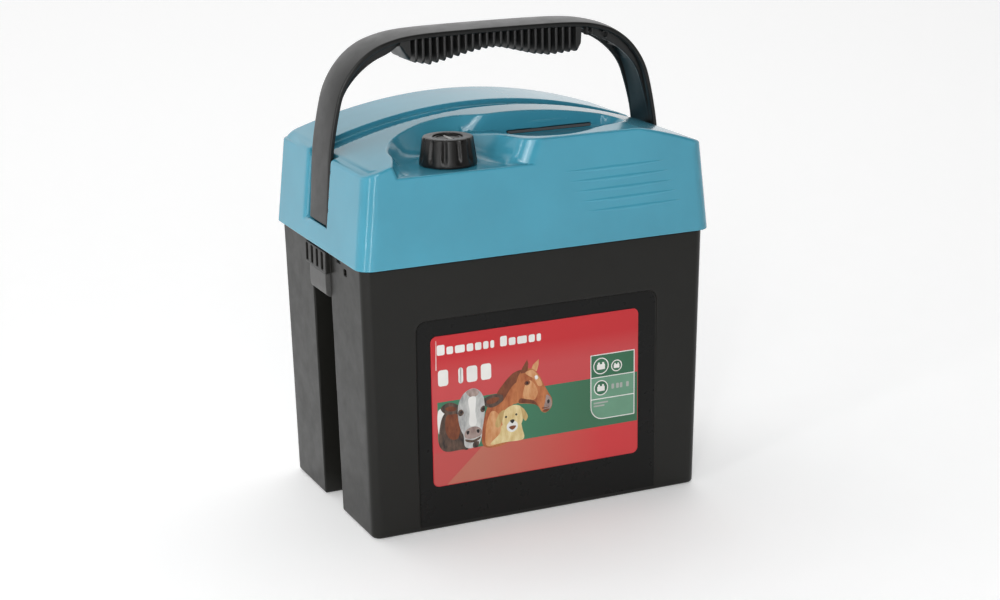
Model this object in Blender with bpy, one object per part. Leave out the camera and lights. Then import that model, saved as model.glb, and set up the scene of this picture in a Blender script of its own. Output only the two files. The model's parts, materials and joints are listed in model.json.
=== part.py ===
"""Fence energizer: a battery case with a lid that holds the electronics.

The black case holds one 9 V dry battery.  The blue lid lifts off it, and carries the
circuit, the rotary switch with its knob, and a carrying handle that slides in two grooves.
Metres, +Z up, front of the object at -Y, origin on the ground under its middle.
"""
import math

import bmesh
import bpy
from mathutils import Matrix, Vector

# ---------------------------------------------------------------- driving dimensions
GAP = 0.0003             # left between pieces that touch

# battery, the standard size that the case is built round
BATTERY_X = 0.190
BATTERY_Y = 0.125
BATTERY_Z = 0.160
BATTERY_FLOOR = 0.0035

# case
CASE_TOP = 0.1725
CASE_HALF_BASE = (0.1136, 0.0726)
CASE_HALF_TOP = (0.1168, 0.0742)
CASE_CORNER = 0.006
CASE_WALL = 0.0028
CASE_FLOOR = 0.003
LIP_HEIGHT = 0.005
LIP_SETBACK = 0.0012
CHANNEL_HALF = 0.0165    # upright channel in each side wall, half its width
CHANNEL_DEPTH = 0.015
PANEL_Y = -0.0724        # upright floor of the label panel
PANEL_X = 0.0831
PANEL_TOP = 0.137
PANEL_CORNER = 0.007
COMB_HALF = 0.0185
COMB_BOTTOM = 0.159
COMB_FACE = 0.1200
COMB_SLOT = 0.003
COMB_SLOTS = 4

# latches
PIVOT_X = 0.1112
PIVOT_Z = 0.1635
LATCH_HALF = 0.0145
LATCH_FACE = 0.1190
LATCH_BOTTOM = 0.1425

# label
LABEL_LOW = (-0.0735, 0.0285)
LABEL_HIGH = (0.0700, 0.1262)
LABEL_THICK = 0.0006

# lid
RIM_Z = 0.1735
RIM_HALF = (0.1200, 0.0795)
SHOULDER_Z = 0.2310
SHOULDER_HALF = (0.1140, 0.0784)
LID_CORNER = 0.010
LID_WALL = 0.0025
ARCH_TOP = 0.2510
ARCH_RADIUS = 0.310
ABOVE = 0.262            # a height clear above the lid, where its cutters end

# pocket round the knob, as matching points of its floor and of its upper edge (x, y)
POCKET_FLOOR_Z = 0.2284
LEDGE_Z = 0.2436
POCKET_PAIRS = [
    ((-0.0950, -0.0900), (-0.1020, -0.0900)),
    ((-0.0934, -0.0785), (-0.0975, -0.0785)),
    ((-0.0830, -0.0620), (-0.0900, -0.0600)),
    ((-0.0770, -0.0500), (-0.0880, -0.0450)),
    ((-0.0680, -0.0370), (-0.0780, -0.0290)),
    ((-0.0600, -0.0320), (-0.0633, -0.0182)),
    ((-0.0515, -0.0300), (-0.0500, -0.0130)),
    ((-0.0430, -0.0320), (-0.0372, -0.0124)),
    ((-0.0370, -0.0350), (-0.0250, -0.0165)),
    ((-0.0320, -0.0410), (-0.0160, -0.0240)),
    ((-0.0280, -0.0520), (-0.0180, -0.0400)),
    ((-0.0265, -0.0600), (-0.0155, -0.0620)),
    ((-0.0165, -0.0785), (-0.0040, -0.0785)),
    ((-0.0080, -0.0900), (0.0050, -0.0900)),
]
POCKET_EDGE_IS_LOW = 9   # from this pair on, the upper edge lies at LEDGE_Z

# basin beside the pocket
BASIN_FLOOR_Z = 0.2360
BASIN_BACK = -0.0245
BASIN_PAIRS = [          # matching points of its floor and of its edge at LEDGE_Z (x, y)
    ((0.0000, BASIN_BACK), (-0.0130, BASIN_BACK)),
    ((0.0610, BASIN_BACK), (0.0614, BASIN_BACK)),
    ((0.0685, -0.0270), (0.0705, -0.0262)),
    ((0.0715, -0.0350), (0.0765, -0.0350)),
    ((0.0690, -0.0420), (0.0760, -0.0470)),
    ((0.0600, -0.0475), (0.0650, -0.0560)),
    ((0.0500, -0.0505), (0.0540, -0.0590)),
    ((0.0400, -0.0550), (0.0440, -0.0630)),
    ((0.0300, -0.0610), (0.0330, -0.0690)),
    ((0.0180, -0.0650), (0.0190, -0.0735)),
    ((0.0050, -0.0635), (-0.0010, -0.0715)),
    ((0.0005, -0.0540), (-0.0105, -0.0590)),
    ((0.0000, -0.0420), (-0.0130, -0.0440)),
    ((0.0005, -0.0320), (-0.0130, -0.0330)),
]
WINDOW_X = (0.0020, 0.0610)
WINDOW_Z = (0.2363, 0.2386)

# trough across the top of the lid
TROUGH_SECTION = [       # (y, height against the arch)
    (-0.0010, 0.0100), (-0.0004, -0.0052), (0.0190, -0.0058), (0.0194, -0.0030),
    (0.0214, -0.0030), (0.0226, 0.0100),
]

# handle
BAND_HALF = 0.016
BAND_THICK = 0.003
FLANGE_WALL = 0.0026
BAND_CROWN = 0.0015
CHANNEL_START_Z = 0.270  # the band is hollow underneath above this height
HANDLE_FOOT_Z = 0.188
BAND_OUTSIDE = [         # front edge of the band's outer face, half of it (x, z)
    (0.1172, 0.1880), (0.1157, 0.2095), (0.1142, 0.2310), (0.1122, 0.2440),
    (0.1092, 0.2585), (0.1050, 0.2725), (0.0955, 0.2865), (0.0835, 0.2955),
    (0.0720, 0.2995), (0.0600, 0.3018), (0.0400, 0.3028), (0.0, 0.3030),
]
BAND_DEPTH = [           # how deep the side flanges are, from the foot to the middle
    0.0030, 0.0030, 0.0030, 0.0031, 0.0034, 0.0042, 0.0066, 0.0078,
    0.0082, 0.0082, 0.0082, 0.0082,
]
GRIP_UNDERSIDE = [       # (x, z)
    (-0.0680, 0.2956), (-0.0617, 0.2870), (-0.0578, 0.2849), (-0.0452, 0.2826),
    (-0.0351, 0.2843), (-0.0249, 0.2866), (-0.0146, 0.2886), (-0.0043, 0.2900),
    (0.0039, 0.2897), (0.0129, 0.2874), (0.0268, 0.2838), (0.0373, 0.2823),
    (0.0480, 0.2828), (0.0565, 0.2834), (0.0587, 0.2871), (0.0590, 0.2956),
]
GRIP_FINS = 24
GRIP_PITCH = 0.0049
FIN_GAP = 0.0026
HANDLE_TRAVEL = 0.012

# groove in the lid for a handle leg
GROOVE_FLOOR_X = 0.1088
GROOVE_Y = (-0.0185, 0.0215)
LEG_SLOT_X = 0.1176
LEG_SLOT_FLOOR = 0.1755
STUD_HALF = 0.0022
STUD_Z = (0.1965, 0.2023)

# knob and switch
KNOB_X = -0.0515
KNOB_Y = -0.0545
KNOB_BASE = 0.2288
KNOB_TOP = 0.2458
KNOB_R_LOW = 0.0178
KNOB_R_HIGH = 0.0158
KNOB_FLUTES = 12

# circuit
TRAY_LOW = 0.1780
TRAY_HIGH = 0.1800
BOARD_LOW = 0.1840
BOARD_HIGH = 0.1856
SCREW_X = 0.098
SCREW_Y = 0.062
BOARD_SCREW_X = 0.082
BOARD_SCREW_Y = 0.050

# lead exits at the back of the lid
EXIT_X = 0.015
EXIT_Z = 0.196
EXIT_RECESS_Y = 0.0750
EXIT_RECESS = (0.030, 0.010)

# plug and socket of the battery
PLUG_X = 0.030
PLUG_Y = 0.030
CONTACT_X = 0.008


# ---------------------------------------------------------------- helpers
def clear_scene():
    for obj in list(bpy.data.objects):
        bpy.data.objects.remove(obj, do_unlink=True)


def make_material(name, colour, roughness, metallic=0.0):
    mat = bpy.data.materials.new(name)
    mat.use_nodes = True
    shader = mat.node_tree.nodes["Principled BSDF"]
    shader.inputs["Base Color"].default_value = (*colour, 1.0)
    shader.inputs["Roughness"].default_value = roughness
    shader.inputs["Metallic"].default_value = metallic
    mat.diffuse_color = (*colour, 1.0)
    return mat


def make_object(name, bm, mat=None, smooth=None):
    """Turn a bmesh into an object, with its faces pointing out."""
    bmesh.ops.recalc_face_normals(bm, faces=bm.faces)
    mesh = bpy.data.meshes.new(name)
    bm.to_mesh(mesh)
    bm.free()
    obj = bpy.data.objects.new(name, mesh)
    bpy.context.collection.objects.link(obj)
    if mat is not None:
        mesh.materials.append(mat)
    if smooth is not None:
        mesh.shade_smooth()
        mesh.set_sharp_from_angle(angle=math.radians(smooth))
    return obj


def hide_tool(tool):
    tool.hide_render = True
    tool.display_type = "WIRE"


def combine(obj, tool, operation):
    """Add a Boolean modifier; the tool stays in the file as a hidden guide."""
    hide_tool(tool)
    modifier = obj.modifiers.new(operation.lower(), "BOOLEAN")
    modifier.operation = operation
    modifier.solver = "EXACT"
    modifier.object = tool


def cut(obj, *tools):
    for tool in tools:
        combine(obj, tool, "DIFFERENCE")


def join(obj, *tools):
    for tool in tools:
        combine(obj, tool, "UNION")


def loft(name, rings, mat=None, smooth=None, twisted=False):
    """Skin a closed body through matching rings of points; both ends are capped.

    Where its side faces would be twisted quads, they are split into triangles.
    """
    bm = bmesh.new()
    loops = [[bm.verts.new(point) for point in ring] for ring in rings]
    for low, high in zip(loops, loops[1:]):
        for i in range(len(low)):
            j = (i + 1) % len(low)
            bm.faces.new((low[i], low[j], high[j], high[i]))
    if twisted:
        bmesh.ops.triangulate(bm, faces=bm.faces)
    bm.faces.new(list(reversed(loops[0])))
    bm.faces.new(loops[-1])
    return make_object(name, bm, mat, smooth)


def prism(name, outline, axis, low, high, mat=None, smooth=None):
    """Extrude a 2-D outline along X, Y or Z; the outline holds the two other coordinates."""
    place = {
        "X": lambda p, at: (at, p[0], p[1]),
        "Y": lambda p, at: (p[0], at, p[1]),
        "Z": lambda p, at: (p[0], p[1], at),
    }[axis]
    rings = [[place(p, at) for p in outline] for at in (low, high)]
    return loft(name, rings, mat, smooth)


def box(name, low, high, mat=None, bevel=0.0):
    outline = [(low[0], low[1]), (high[0], low[1]), (high[0], high[1]), (low[0], high[1])]
    obj = prism(name, outline, "Z", low[2], high[2], mat)
    if bevel:
        add_bevel(obj, bevel)
    return obj


def sorted_low(xa, xb, y, z):
    return (min(xa, xb), y, z)


def sorted_high(xa, xb, y, z):
    return (max(xa, xb), y, z)


def add_bevel(obj, width, segments=2):
    modifier = obj.modifiers.new("edges", "BEVEL")
    modifier.width = width
    modifier.segments = segments
    modifier.limit_method = "ANGLE"
    modifier.angle_limit = math.radians(40)
    modifier.use_clamp_overlap = True


def rounded_rectangle(half_x, half_y, radius, steps=3, centre=(0.0, 0.0)):
    """Anticlockwise outline that starts at the front right corner."""
    points = []
    for quarter, (sx, sy) in enumerate(((1, -1), (1, 1), (-1, 1), (-1, -1))):
        for step in range(steps + 1):
            angle = math.radians(-90 + 90 * quarter + 90 * step / steps)
            points.append((centre[0] + sx * (half_x - radius) + radius * math.cos(angle),
                           centre[1] + sy * (half_y - radius) + radius * math.sin(angle)))
    return points


def circle(radius, segments, centre=(0.0, 0.0)):
    return [(centre[0] + radius * math.cos(2 * math.pi * k / segments),
             centre[1] + radius * math.sin(2 * math.pi * k / segments))
            for k in range(segments)]


def turned(name, profile, centre, segments=24, mat=None, axis="Z", bore=False):
    """Body of revolution from (radius, height) pairs; with a bore its profile is closed."""
    turn = {"Z": Matrix.Identity(4), "Y": Matrix.Rotation(math.radians(-90), 4, "X"),
            "X": Matrix.Rotation(math.radians(90), 4, "Y")}[axis]
    bm = bmesh.new()
    rings = [[bm.verts.new((x, y, height)) for x, y in circle(radius, segments)]
             for radius, height in profile]
    pairs = list(zip(rings, rings[1:]))
    if bore:
        pairs.append((rings[-1], rings[0]))
    else:
        bm.faces.new(rings[0])
        bm.faces.new(rings[-1])
    for low, high in pairs:
        for i in range(segments):
            j = (i + 1) % segments
            bm.faces.new((low[i], low[j], high[j], high[i]))
    bmesh.ops.transform(bm, matrix=Matrix.Translation(centre) @ turn, verts=bm.verts)
    return make_object(name, bm, mat, 35)


def offset_outline(points, distance):
    """Push each point of an anticlockwise closed outline out along its own normal."""
    moved = []
    for i, here in enumerate(points):
        before = Vector(points[i - 1])
        after = Vector(points[(i + 1) % len(points)])
        a = (Vector(here) - before).normalized()
        b = (after - Vector(here)).normalized()
        normal = Vector((a.y + b.y, -a.x - b.x))
        length = max(normal.length, 1e-9)
        scale = min(2.0 / max(length, 0.8), 2.0)
        moved.append(tuple(Vector(here) + normal / length * distance * scale))
    return moved


def spline(points, per_span):
    """Catmull-Rom curve through points of any dimension, ends included."""
    padded = [points[0], *points, points[-1]]
    curve = []
    for a, b, c, d in zip(padded, padded[1:], padded[2:], padded[3:]):
        for step in range(per_span):
            t = step / per_span
            curve.append(tuple(
                0.5 * (2 * q + (r - p) * t + (2 * p - 5 * q + 4 * r - s) * t * t
                       + (3 * q - p - 3 * r + s) * t ** 3)
                for p, q, r, s in zip(a, b, c, d)))
    curve.append(tuple(points[-1]))
    return curve


def arch(x):
    return ARCH_TOP - x * x / (2 * ARCH_RADIUS)


def lid_half(z):
    """Half width and half depth of the lid's outside at a height."""
    t = (z - RIM_Z) / (SHOULDER_Z - RIM_Z)
    return tuple(low + (high - low) * t for low, high in zip(RIM_HALF, SHOULDER_HALF))


def case_half(z):
    t = z / CASE_TOP
    return tuple(low + (high - low) * t for low, high in zip(CASE_HALF_BASE, CASE_HALF_TOP))


# ---------------------------------------------------------------- materials
def make_materials():
    specs = {
        "case_black": ((0.022, 0.022, 0.021), 0.45, 0.0),
        "lid_blue": ((0.072, 0.330, 0.470), 0.25, 0.0),
        "handle_black": ((0.030, 0.030, 0.030), 0.50, 0.0),
        "latch_grey": ((0.10, 0.10, 0.10), 0.50, 0.0),
        "label_print": ((0.58, 0.030, 0.038), 0.30, 0.0),
        "battery_wrap": ((0.06, 0.10, 0.30), 0.55, 0.0),
        "battery_top": ((0.05, 0.05, 0.05), 0.60, 0.0),
        "grey_plastic": ((0.30, 0.30, 0.30), 0.50, 0.0),
        "board_green": ((0.02, 0.16, 0.06), 0.45, 0.0),
        "film_yellow": ((0.55, 0.36, 0.03), 0.40, 0.0),
        "ferrite": ((0.03, 0.03, 0.035), 0.70, 0.0),
        "copper": ((0.60, 0.25, 0.10), 0.35, 1.0),
        "brass": ((0.70, 0.52, 0.22), 0.30, 1.0),
        "steel": ((0.56, 0.56, 0.56), 0.35, 1.0),
        "aluminium": ((0.75, 0.76, 0.78), 0.35, 1.0),
        "sleeve_black": ((0.02, 0.02, 0.03), 0.35, 0.0),
        "fuse_glass": ((0.75, 0.80, 0.80), 0.05, 0.0),
        "knob_black": ((0.020, 0.019, 0.018), 0.38, 0.0),
        "window_dark": ((0.03, 0.025, 0.025), 0.12, 0.0),
        "led_red": ((0.50, 0.02, 0.02), 0.20, 0.0),
        "rubber_red": ((0.40, 0.02, 0.02), 0.75, 0.0),
        "rubber_black": ((0.02, 0.02, 0.02), 0.80, 0.0),
        "wire_red": ((0.45, 0.02, 0.02), 0.50, 0.0),
        "wire_black": ((0.02, 0.02, 0.02), 0.50, 0.0),
    }
    return {name: make_material(name, *spec) for name, spec in specs.items()}


# ---------------------------------------------------------------- battery case
def channelled_outline(half_x, half_y, corner, channel_half, channel_depth, steps=2):
    """Rounded rectangle with a square notch in the middle of each side wall."""
    corners = rounded_rectangle(half_x, half_y, corner, steps)
    per_corner = steps + 1
    floor_x = half_x - channel_depth
    right = [(half_x, -channel_half), (floor_x, -channel_half),
             (floor_x, channel_half), (half_x, channel_half)]
    left = [(-x, -y) for x, y in right]
    return (corners[:per_corner] + right + corners[per_corner:3 * per_corner] + left
            + corners[3 * per_corner:])


def case_ring(z, inset, radius):
    half_x, half_y = case_half(z)
    outline = channelled_outline(half_x - inset, half_y - inset, radius,
                                 CHANNEL_HALF + inset, CHANNEL_DEPTH)
    return [(x, y, z) for x, y in outline]


def battery_case(mats):
    bottom_edge = 0.002
    inner_corner = CASE_CORNER - CASE_WALL
    rings = [
        case_ring(0.0, bottom_edge * 0.5, CASE_CORNER - bottom_edge * 0.5),
        case_ring(bottom_edge * 0.5, 0.0, CASE_CORNER),
        case_ring(CASE_TOP, 0.0, CASE_CORNER),
        case_ring(CASE_TOP, LIP_SETBACK, CASE_CORNER - LIP_SETBACK),
        case_ring(CASE_TOP + LIP_HEIGHT, LIP_SETBACK, CASE_CORNER - LIP_SETBACK),
        case_ring(CASE_TOP + LIP_HEIGHT, CASE_WALL, inner_corner),
        case_ring(CASE_FLOOR, CASE_WALL, inner_corner),
    ]
    case = loft("battery_case", rings, mats["case_black"], 30)
    cut(case, label_panel())
    for side in (-1, 1):
        lip_gap = box(f"lip_gap_{side}", sorted_low(side * 0.085, side * 0.125, -0.0245,
                                                    CASE_TOP - 0.0002),
                      sorted_high(side * 0.085, side * 0.125, 0.0245,
                                  CASE_TOP + LIP_HEIGHT + 0.002))
        cut(case, lip_gap)
        join(case, latch_comb(side))
        cut(case, comb_slots(side))
        cut(case, *side_details(side))
    return case


def label_panel():
    outline = rounded_rectangle(PANEL_X, PANEL_TOP / 2 + 0.01, PANEL_CORNER, 4,
                                (0.0, PANEL_TOP / 2 - 0.01))
    return prism("panel_cutter", outline, "Y", -0.090, PANEL_Y)


def latch_comb(side):
    """Bridge across the top of a side channel, and the block that its ribs are cut from."""
    inner = 0.1140
    top = CASE_TOP
    plate_outline = [(inner, -0.0180), (0.1161, -0.0180), (0.1161, -COMB_HALF),
                     (COMB_FACE, -COMB_HALF), (COMB_FACE, COMB_HALF), (0.1161, COMB_HALF),
                     (0.1161, 0.0180), (inner, 0.0180)]
    outline = [(side * x, y) for x, y in plate_outline]
    return prism(f"comb_{side}", outline, "Z", COMB_BOTTOM, top)


def comb_slots(side):
    """Four upright slots, as one cutter of separate blocks."""
    rib = (2 * COMB_HALF - COMB_SLOTS * COMB_SLOT) / (COMB_SLOTS + 1)
    bm = bmesh.new()
    for k in range(COMB_SLOTS):
        centre_y = -COMB_HALF + rib + COMB_SLOT / 2 + k * (rib + COMB_SLOT)
        made = bmesh.ops.create_cube(bm, size=1.0)
        matrix = Matrix.Translation((side * 0.1190, centre_y, COMB_BOTTOM + 0.0062))
        matrix = matrix @ Matrix.Diagonal((0.0044, COMB_SLOT, 0.0100, 1.0))
        bmesh.ops.transform(bm, matrix=matrix, verts=made["verts"])
    return make_object(f"comb_slots_{side}", bm)


def side_details(side):
    """Bearing holes for the latch's trunnions, a small square hole and a notch."""
    bearing = turned(f"latch_bearing_{side}", [(0.0016, -0.0200), (0.0016, 0.0200)],
                     (side * PIVOT_X, 0.0, PIVOT_Z), 12, axis="Y")
    hole = box(f"side_hole_{side}", sorted_low(side * 0.110, side * 0.125, -0.0466, 0.1637),
               sorted_high(side * 0.110, side * 0.125, -0.0420, 0.1676))
    notch = box(f"side_notch_{side}", sorted_low(side * 0.1155, side * 0.125, -0.0366, 0.1690),
                sorted_high(side * 0.1155, side * 0.125, -0.0300, 0.1711))
    return bearing, hole, notch


def label(mats):
    centre = ((LABEL_LOW[0] + LABEL_HIGH[0]) / 2, (LABEL_LOW[1] + LABEL_HIGH[1]) / 2)
    outline = rounded_rectangle((LABEL_HIGH[0] - LABEL_LOW[0]) / 2,
                                (LABEL_HIGH[1] - LABEL_LOW[1]) / 2, 0.004, 4, centre)
    back = PANEL_Y - GAP
    return prism("label", outline, "Y", back - LABEL_THICK, back, mats["label_print"])


# ---------------------------------------------------------------- latches
def latch(side, mats):
    """Press tongue, hanging from two trunnions behind the bridge of the comb."""
    name = "latch_left" if side < 0 else "latch_right"
    stem_in, stem_out = 0.1098, 0.1125
    web_in = 0.1150
    profile = [(stem_in, 0.1700), (stem_in, 0.1460), (0.1112, LATCH_BOTTOM + 0.0006),
               (web_in + 0.0010, LATCH_BOTTOM), (LATCH_FACE - 0.0012, LATCH_BOTTOM + 0.0006),
               (LATCH_FACE, LATCH_BOTTOM + 0.0022), (LATCH_FACE, 0.1580 - 0.0004),
               (LATCH_FACE - 0.0004, 0.1580), (web_in, 0.1580), (stem_out, 0.1560),
               (stem_out, 0.1700)]
    outline = [(side * x, z) for x, z in profile]
    body = prism(name, outline, "Y", -LATCH_HALF, LATCH_HALF, mats["latch_grey"])
    trunnions = turned(f"{name}_trunnions", [(0.0012, -0.0186), (0.0012, 0.0186)],
                       (side * PIVOT_X, 0.0, PIVOT_Z), 12, axis="Y")
    join(body, trunnions)
    move_origin(body, (side * PIVOT_X, 0.0, PIVOT_Z))
    return body


def move_origin(obj, point):
    """Put an object's origin on its joint's axis without moving its shape."""
    obj.data.transform(Matrix.Translation(-Vector(point)))
    obj.location = point


# ---------------------------------------------------------------- battery
def battery(mats):
    top = BATTERY_FLOOR + BATTERY_Z
    joint = top - 0.0070
    half_x, half_y = BATTERY_X / 2, BATTERY_Y / 2
    block = prism("battery_block", rounded_rectangle(half_x - 0.001, half_y - 0.001, 0.003),
                  "Z", BATTERY_FLOOR, joint, mats["battery_wrap"])
    add_bevel(block, 0.0008, 1)
    outline = rounded_rectangle(half_x, half_y, 0.004)
    cover = prism("battery_cover", outline, "Z", joint + GAP, top, mats["battery_top"])
    well = prism("cover_well", rounded_rectangle(half_x - 0.006, half_y - 0.006, 0.003),
                 "Z", top - 0.0020, top + 0.01)
    cut(cover, well)
    socket_low = top - 0.0020 + GAP
    socket_high = socket_low + 0.0070
    socket = box("battery_socket", (PLUG_X - 0.017, PLUG_Y - 0.009, socket_low),
                 (PLUG_X + 0.017, PLUG_Y + 0.009, socket_high), mats["sleeve_black"])
    for side, pole in ((-1, "positive"), (1, "negative")):
        centre = (PLUG_X + side * CONTACT_X, PLUG_Y, 0.0)
        hole = turned(f"socket_hole_{pole}", [(0.0026, socket_low + 0.0010),
                                              (0.0026, socket_high + 0.002)], centre, 20)
        cut(socket, hole)
        turned(f"socket_sleeve_{pole}",
               [(0.0015, socket_low + 0.0014), (0.0023, socket_low + 0.0014),
                (0.0023, socket_high), (0.0015, socket_high)],
               centre, 20, mats["brass"], bore=True)
    return socket_high


def battery_plug(mats, socket_high):
    """Plug on the battery's leads; it rides with the lid and pulls straight up."""
    low = socket_high + GAP
    high = low + 0.0062
    plug = box("battery_plug", (PLUG_X - 0.015, PLUG_Y - 0.007, low),
               (PLUG_X + 0.015, PLUG_Y + 0.007, high), mats["grey_plastic"], 0.0006)
    for side, pole in ((-1, "positive"), (1, "negative")):
        x = PLUG_X + side * CONTACT_X
        hole = turned(f"plug_hole_{pole}", [(0.0015, low - 0.001), (0.0015, low + 0.0040)],
                      (x, PLUG_Y, 0.0), 16)
        cut(plug, hole)
        turned(f"plug_pin_{pole}", [(0.0011, low - 0.0045), (0.0011, low + 0.0036)],
               (x, PLUG_Y, 0.0), 16, mats["brass"])
        lead_route(f"battery_lead_{pole}", x, PLUG_Y + 0.0073, low + 0.0031, side,
                   mats["wire_red" if side < 0 else "wire_black"])


def lead_route(name, x, y, z, side, mat):
    """Short lead from the plug's end, up through the tray's opening to the board."""
    route = [(x, y, z), (x, y + 0.0030, z), (x + side * 0.0005, y + 0.0068, z + 0.0016),
             (x + side * 0.001, y + 0.0084, z + 0.0060), (x + side * 0.001, y + 0.0084, BOARD_LOW - GAP)]
    points = spline(route, 4)
    curve = bpy.data.curves.new(name, "CURVE")
    curve.dimensions = "3D"
    curve.bevel_depth = 0.0011
    curve.bevel_resolution = 2
    curve.use_fill_caps = True
    line = curve.splines.new("POLY")
    line.points.add(len(points) - 1)
    for target, point in zip(line.points, points):
        target.co = (*point, 1.0)
    curve.materials.append(mat)
    obj = bpy.data.objects.new(name, curve)
    bpy.context.collection.objects.link(obj)


# ---------------------------------------------------------------- lid
def lid_body(name, inset, bottom, mat=None):
    """Tapered block with rounded upright corners under the arch of the top."""
    rings = []
    for z in (bottom, ABOVE):
        half_x, half_y = lid_half(z)
        outline = rounded_rectangle(half_x - inset, half_y - inset,
                                    max(LID_CORNER - inset, 0.002), 4)
        rings.append([(x, y, z) for x, y in outline])
    body = loft(name, rings, mat, 30)
    steps = 24
    reach = 0.130
    crown = [(reach - 2 * reach * k / steps, arch(reach - 2 * reach * k / steps) - inset)
             for k in range(steps + 1)]
    outline = [(-reach, 0.150), (reach, 0.150)] + crown
    combine(body, prism(f"{name}_arch", outline, "Y", -0.100, 0.100), "INTERSECT")
    return body


def pocket_cutter(name, grow):
    """Hollow round the knob: its walls lean out, and it is open to the front."""
    pairs = []
    for k, (foot, edge) in enumerate(POCKET_PAIRS):
        edge_z = LEDGE_Z if k >= POCKET_EDGE_IS_LOW else arch(edge[0])
        pairs.append((*foot, *edge, edge_z))
    smooth = spline(pairs, 2)
    low = POCKET_FLOOR_Z - grow
    foot_line = [(p[0], p[1]) for p in smooth]
    top_line = []
    for fx, fy, ex, ey, ez in smooth:
        t = (ABOVE - POCKET_FLOOR_Z) / (ez - POCKET_FLOOR_Z)
        top_line.append((fx + (ex - fx) * t, fy + (ey - fy) * t))
    foot_line.reverse()
    top_line.reverse()
    rings = []
    for line, z in ((foot_line, low), (top_line, ABOVE)):
        grown = offset_outline(line, grow) if grow else line
        rings.append([(x, y, z) for x, y in grown])
    return loft(name, rings, twisted=True)


def basin_cutter(name, grow):
    """Shallow basin to the right of the knob: its walls lean out."""
    rings = []
    for z in (BASIN_FLOOR_Z - grow, ABOVE):
        rise = max(0.0, z - BASIN_FLOOR_Z) / (LEDGE_Z - BASIN_FLOOR_Z)
        outline = [(fx + (ex - fx) * rise, fy + (ey - fy) * rise)
                   for (fx, fy), (ex, ey) in reversed(BASIN_PAIRS)]
        grown = offset_outline(outline, grow) if grow else outline
        rings.append([(x, y, z) for x, y in grown])
    return loft(name, rings, twisted=True)


def ledge_cutter(name, grow):
    """Everything in front of the basin's back wall is cut off level."""
    return box(name, (-0.030 - grow, -0.095, LEDGE_Z - grow), (0.095, BASIN_BACK + grow, ABOVE))


def trough_cutter(name, grow):
    steps = 20
    reach = GROOVE_FLOOR_X + 0.004 - grow
    section = list(TROUGH_SECTION)
    if grow:
        section = [(-0.0010 - grow, 0.0100), (-0.0010 - grow, -0.0058 - grow),
                   (0.0210 + grow, -0.0058 - grow), (0.0226 + grow, 0.0100)]
    rings = []
    for k in range(steps + 1):
        x = -reach + 2 * reach * k / steps
        rings.append([(x, y, arch(x) + height) for y, height in section])
    return loft(name, rings)


def groove_cutters(side, grow=0.0):
    """Groove for a handle leg in a side wall, and the slot below it behind the skin."""
    tag = f"{side}_{'wide' if grow else 'true'}"
    inner = GROOVE_FLOOR_X - grow
    if grow:
        return [box(f"groove_{tag}",
                    sorted_low(side * inner, side * 0.135, GROOVE_Y[0] - grow, 0.160),
                    sorted_high(side * inner, side * 0.135, GROOVE_Y[1] + grow, ABOVE + 0.01))]
    groove = box(f"groove_{tag}",
                 sorted_low(side * inner, side * 0.135, GROOVE_Y[0], HANDLE_FOOT_Z - 0.0004),
                 sorted_high(side * inner, side * 0.135, GROOVE_Y[1], ABOVE + 0.01))
    slot_half = BAND_HALF + 0.0005
    slot = box(f"leg_slot_{tag}",
               sorted_low(side * (inner + 0.00002), side * LEG_SLOT_X, -slot_half, LEG_SLOT_FLOOR),
               sorted_high(side * (inner + 0.00002), side * LEG_SLOT_X, slot_half,
                           HANDLE_FOOT_Z + 0.003))
    stud_slot = box(f"stud_slot_{tag}",
                    sorted_low(side * 0.1050, side * 0.1100, -STUD_HALF - 0.0004,
                               STUD_Z[0] - HANDLE_TRAVEL - 0.0010),
                    sorted_high(side * 0.1050, side * 0.1100, STUD_HALF + 0.0004,
                                STUD_Z[1] + GAP))
    return [groove, slot, stud_slot]


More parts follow.
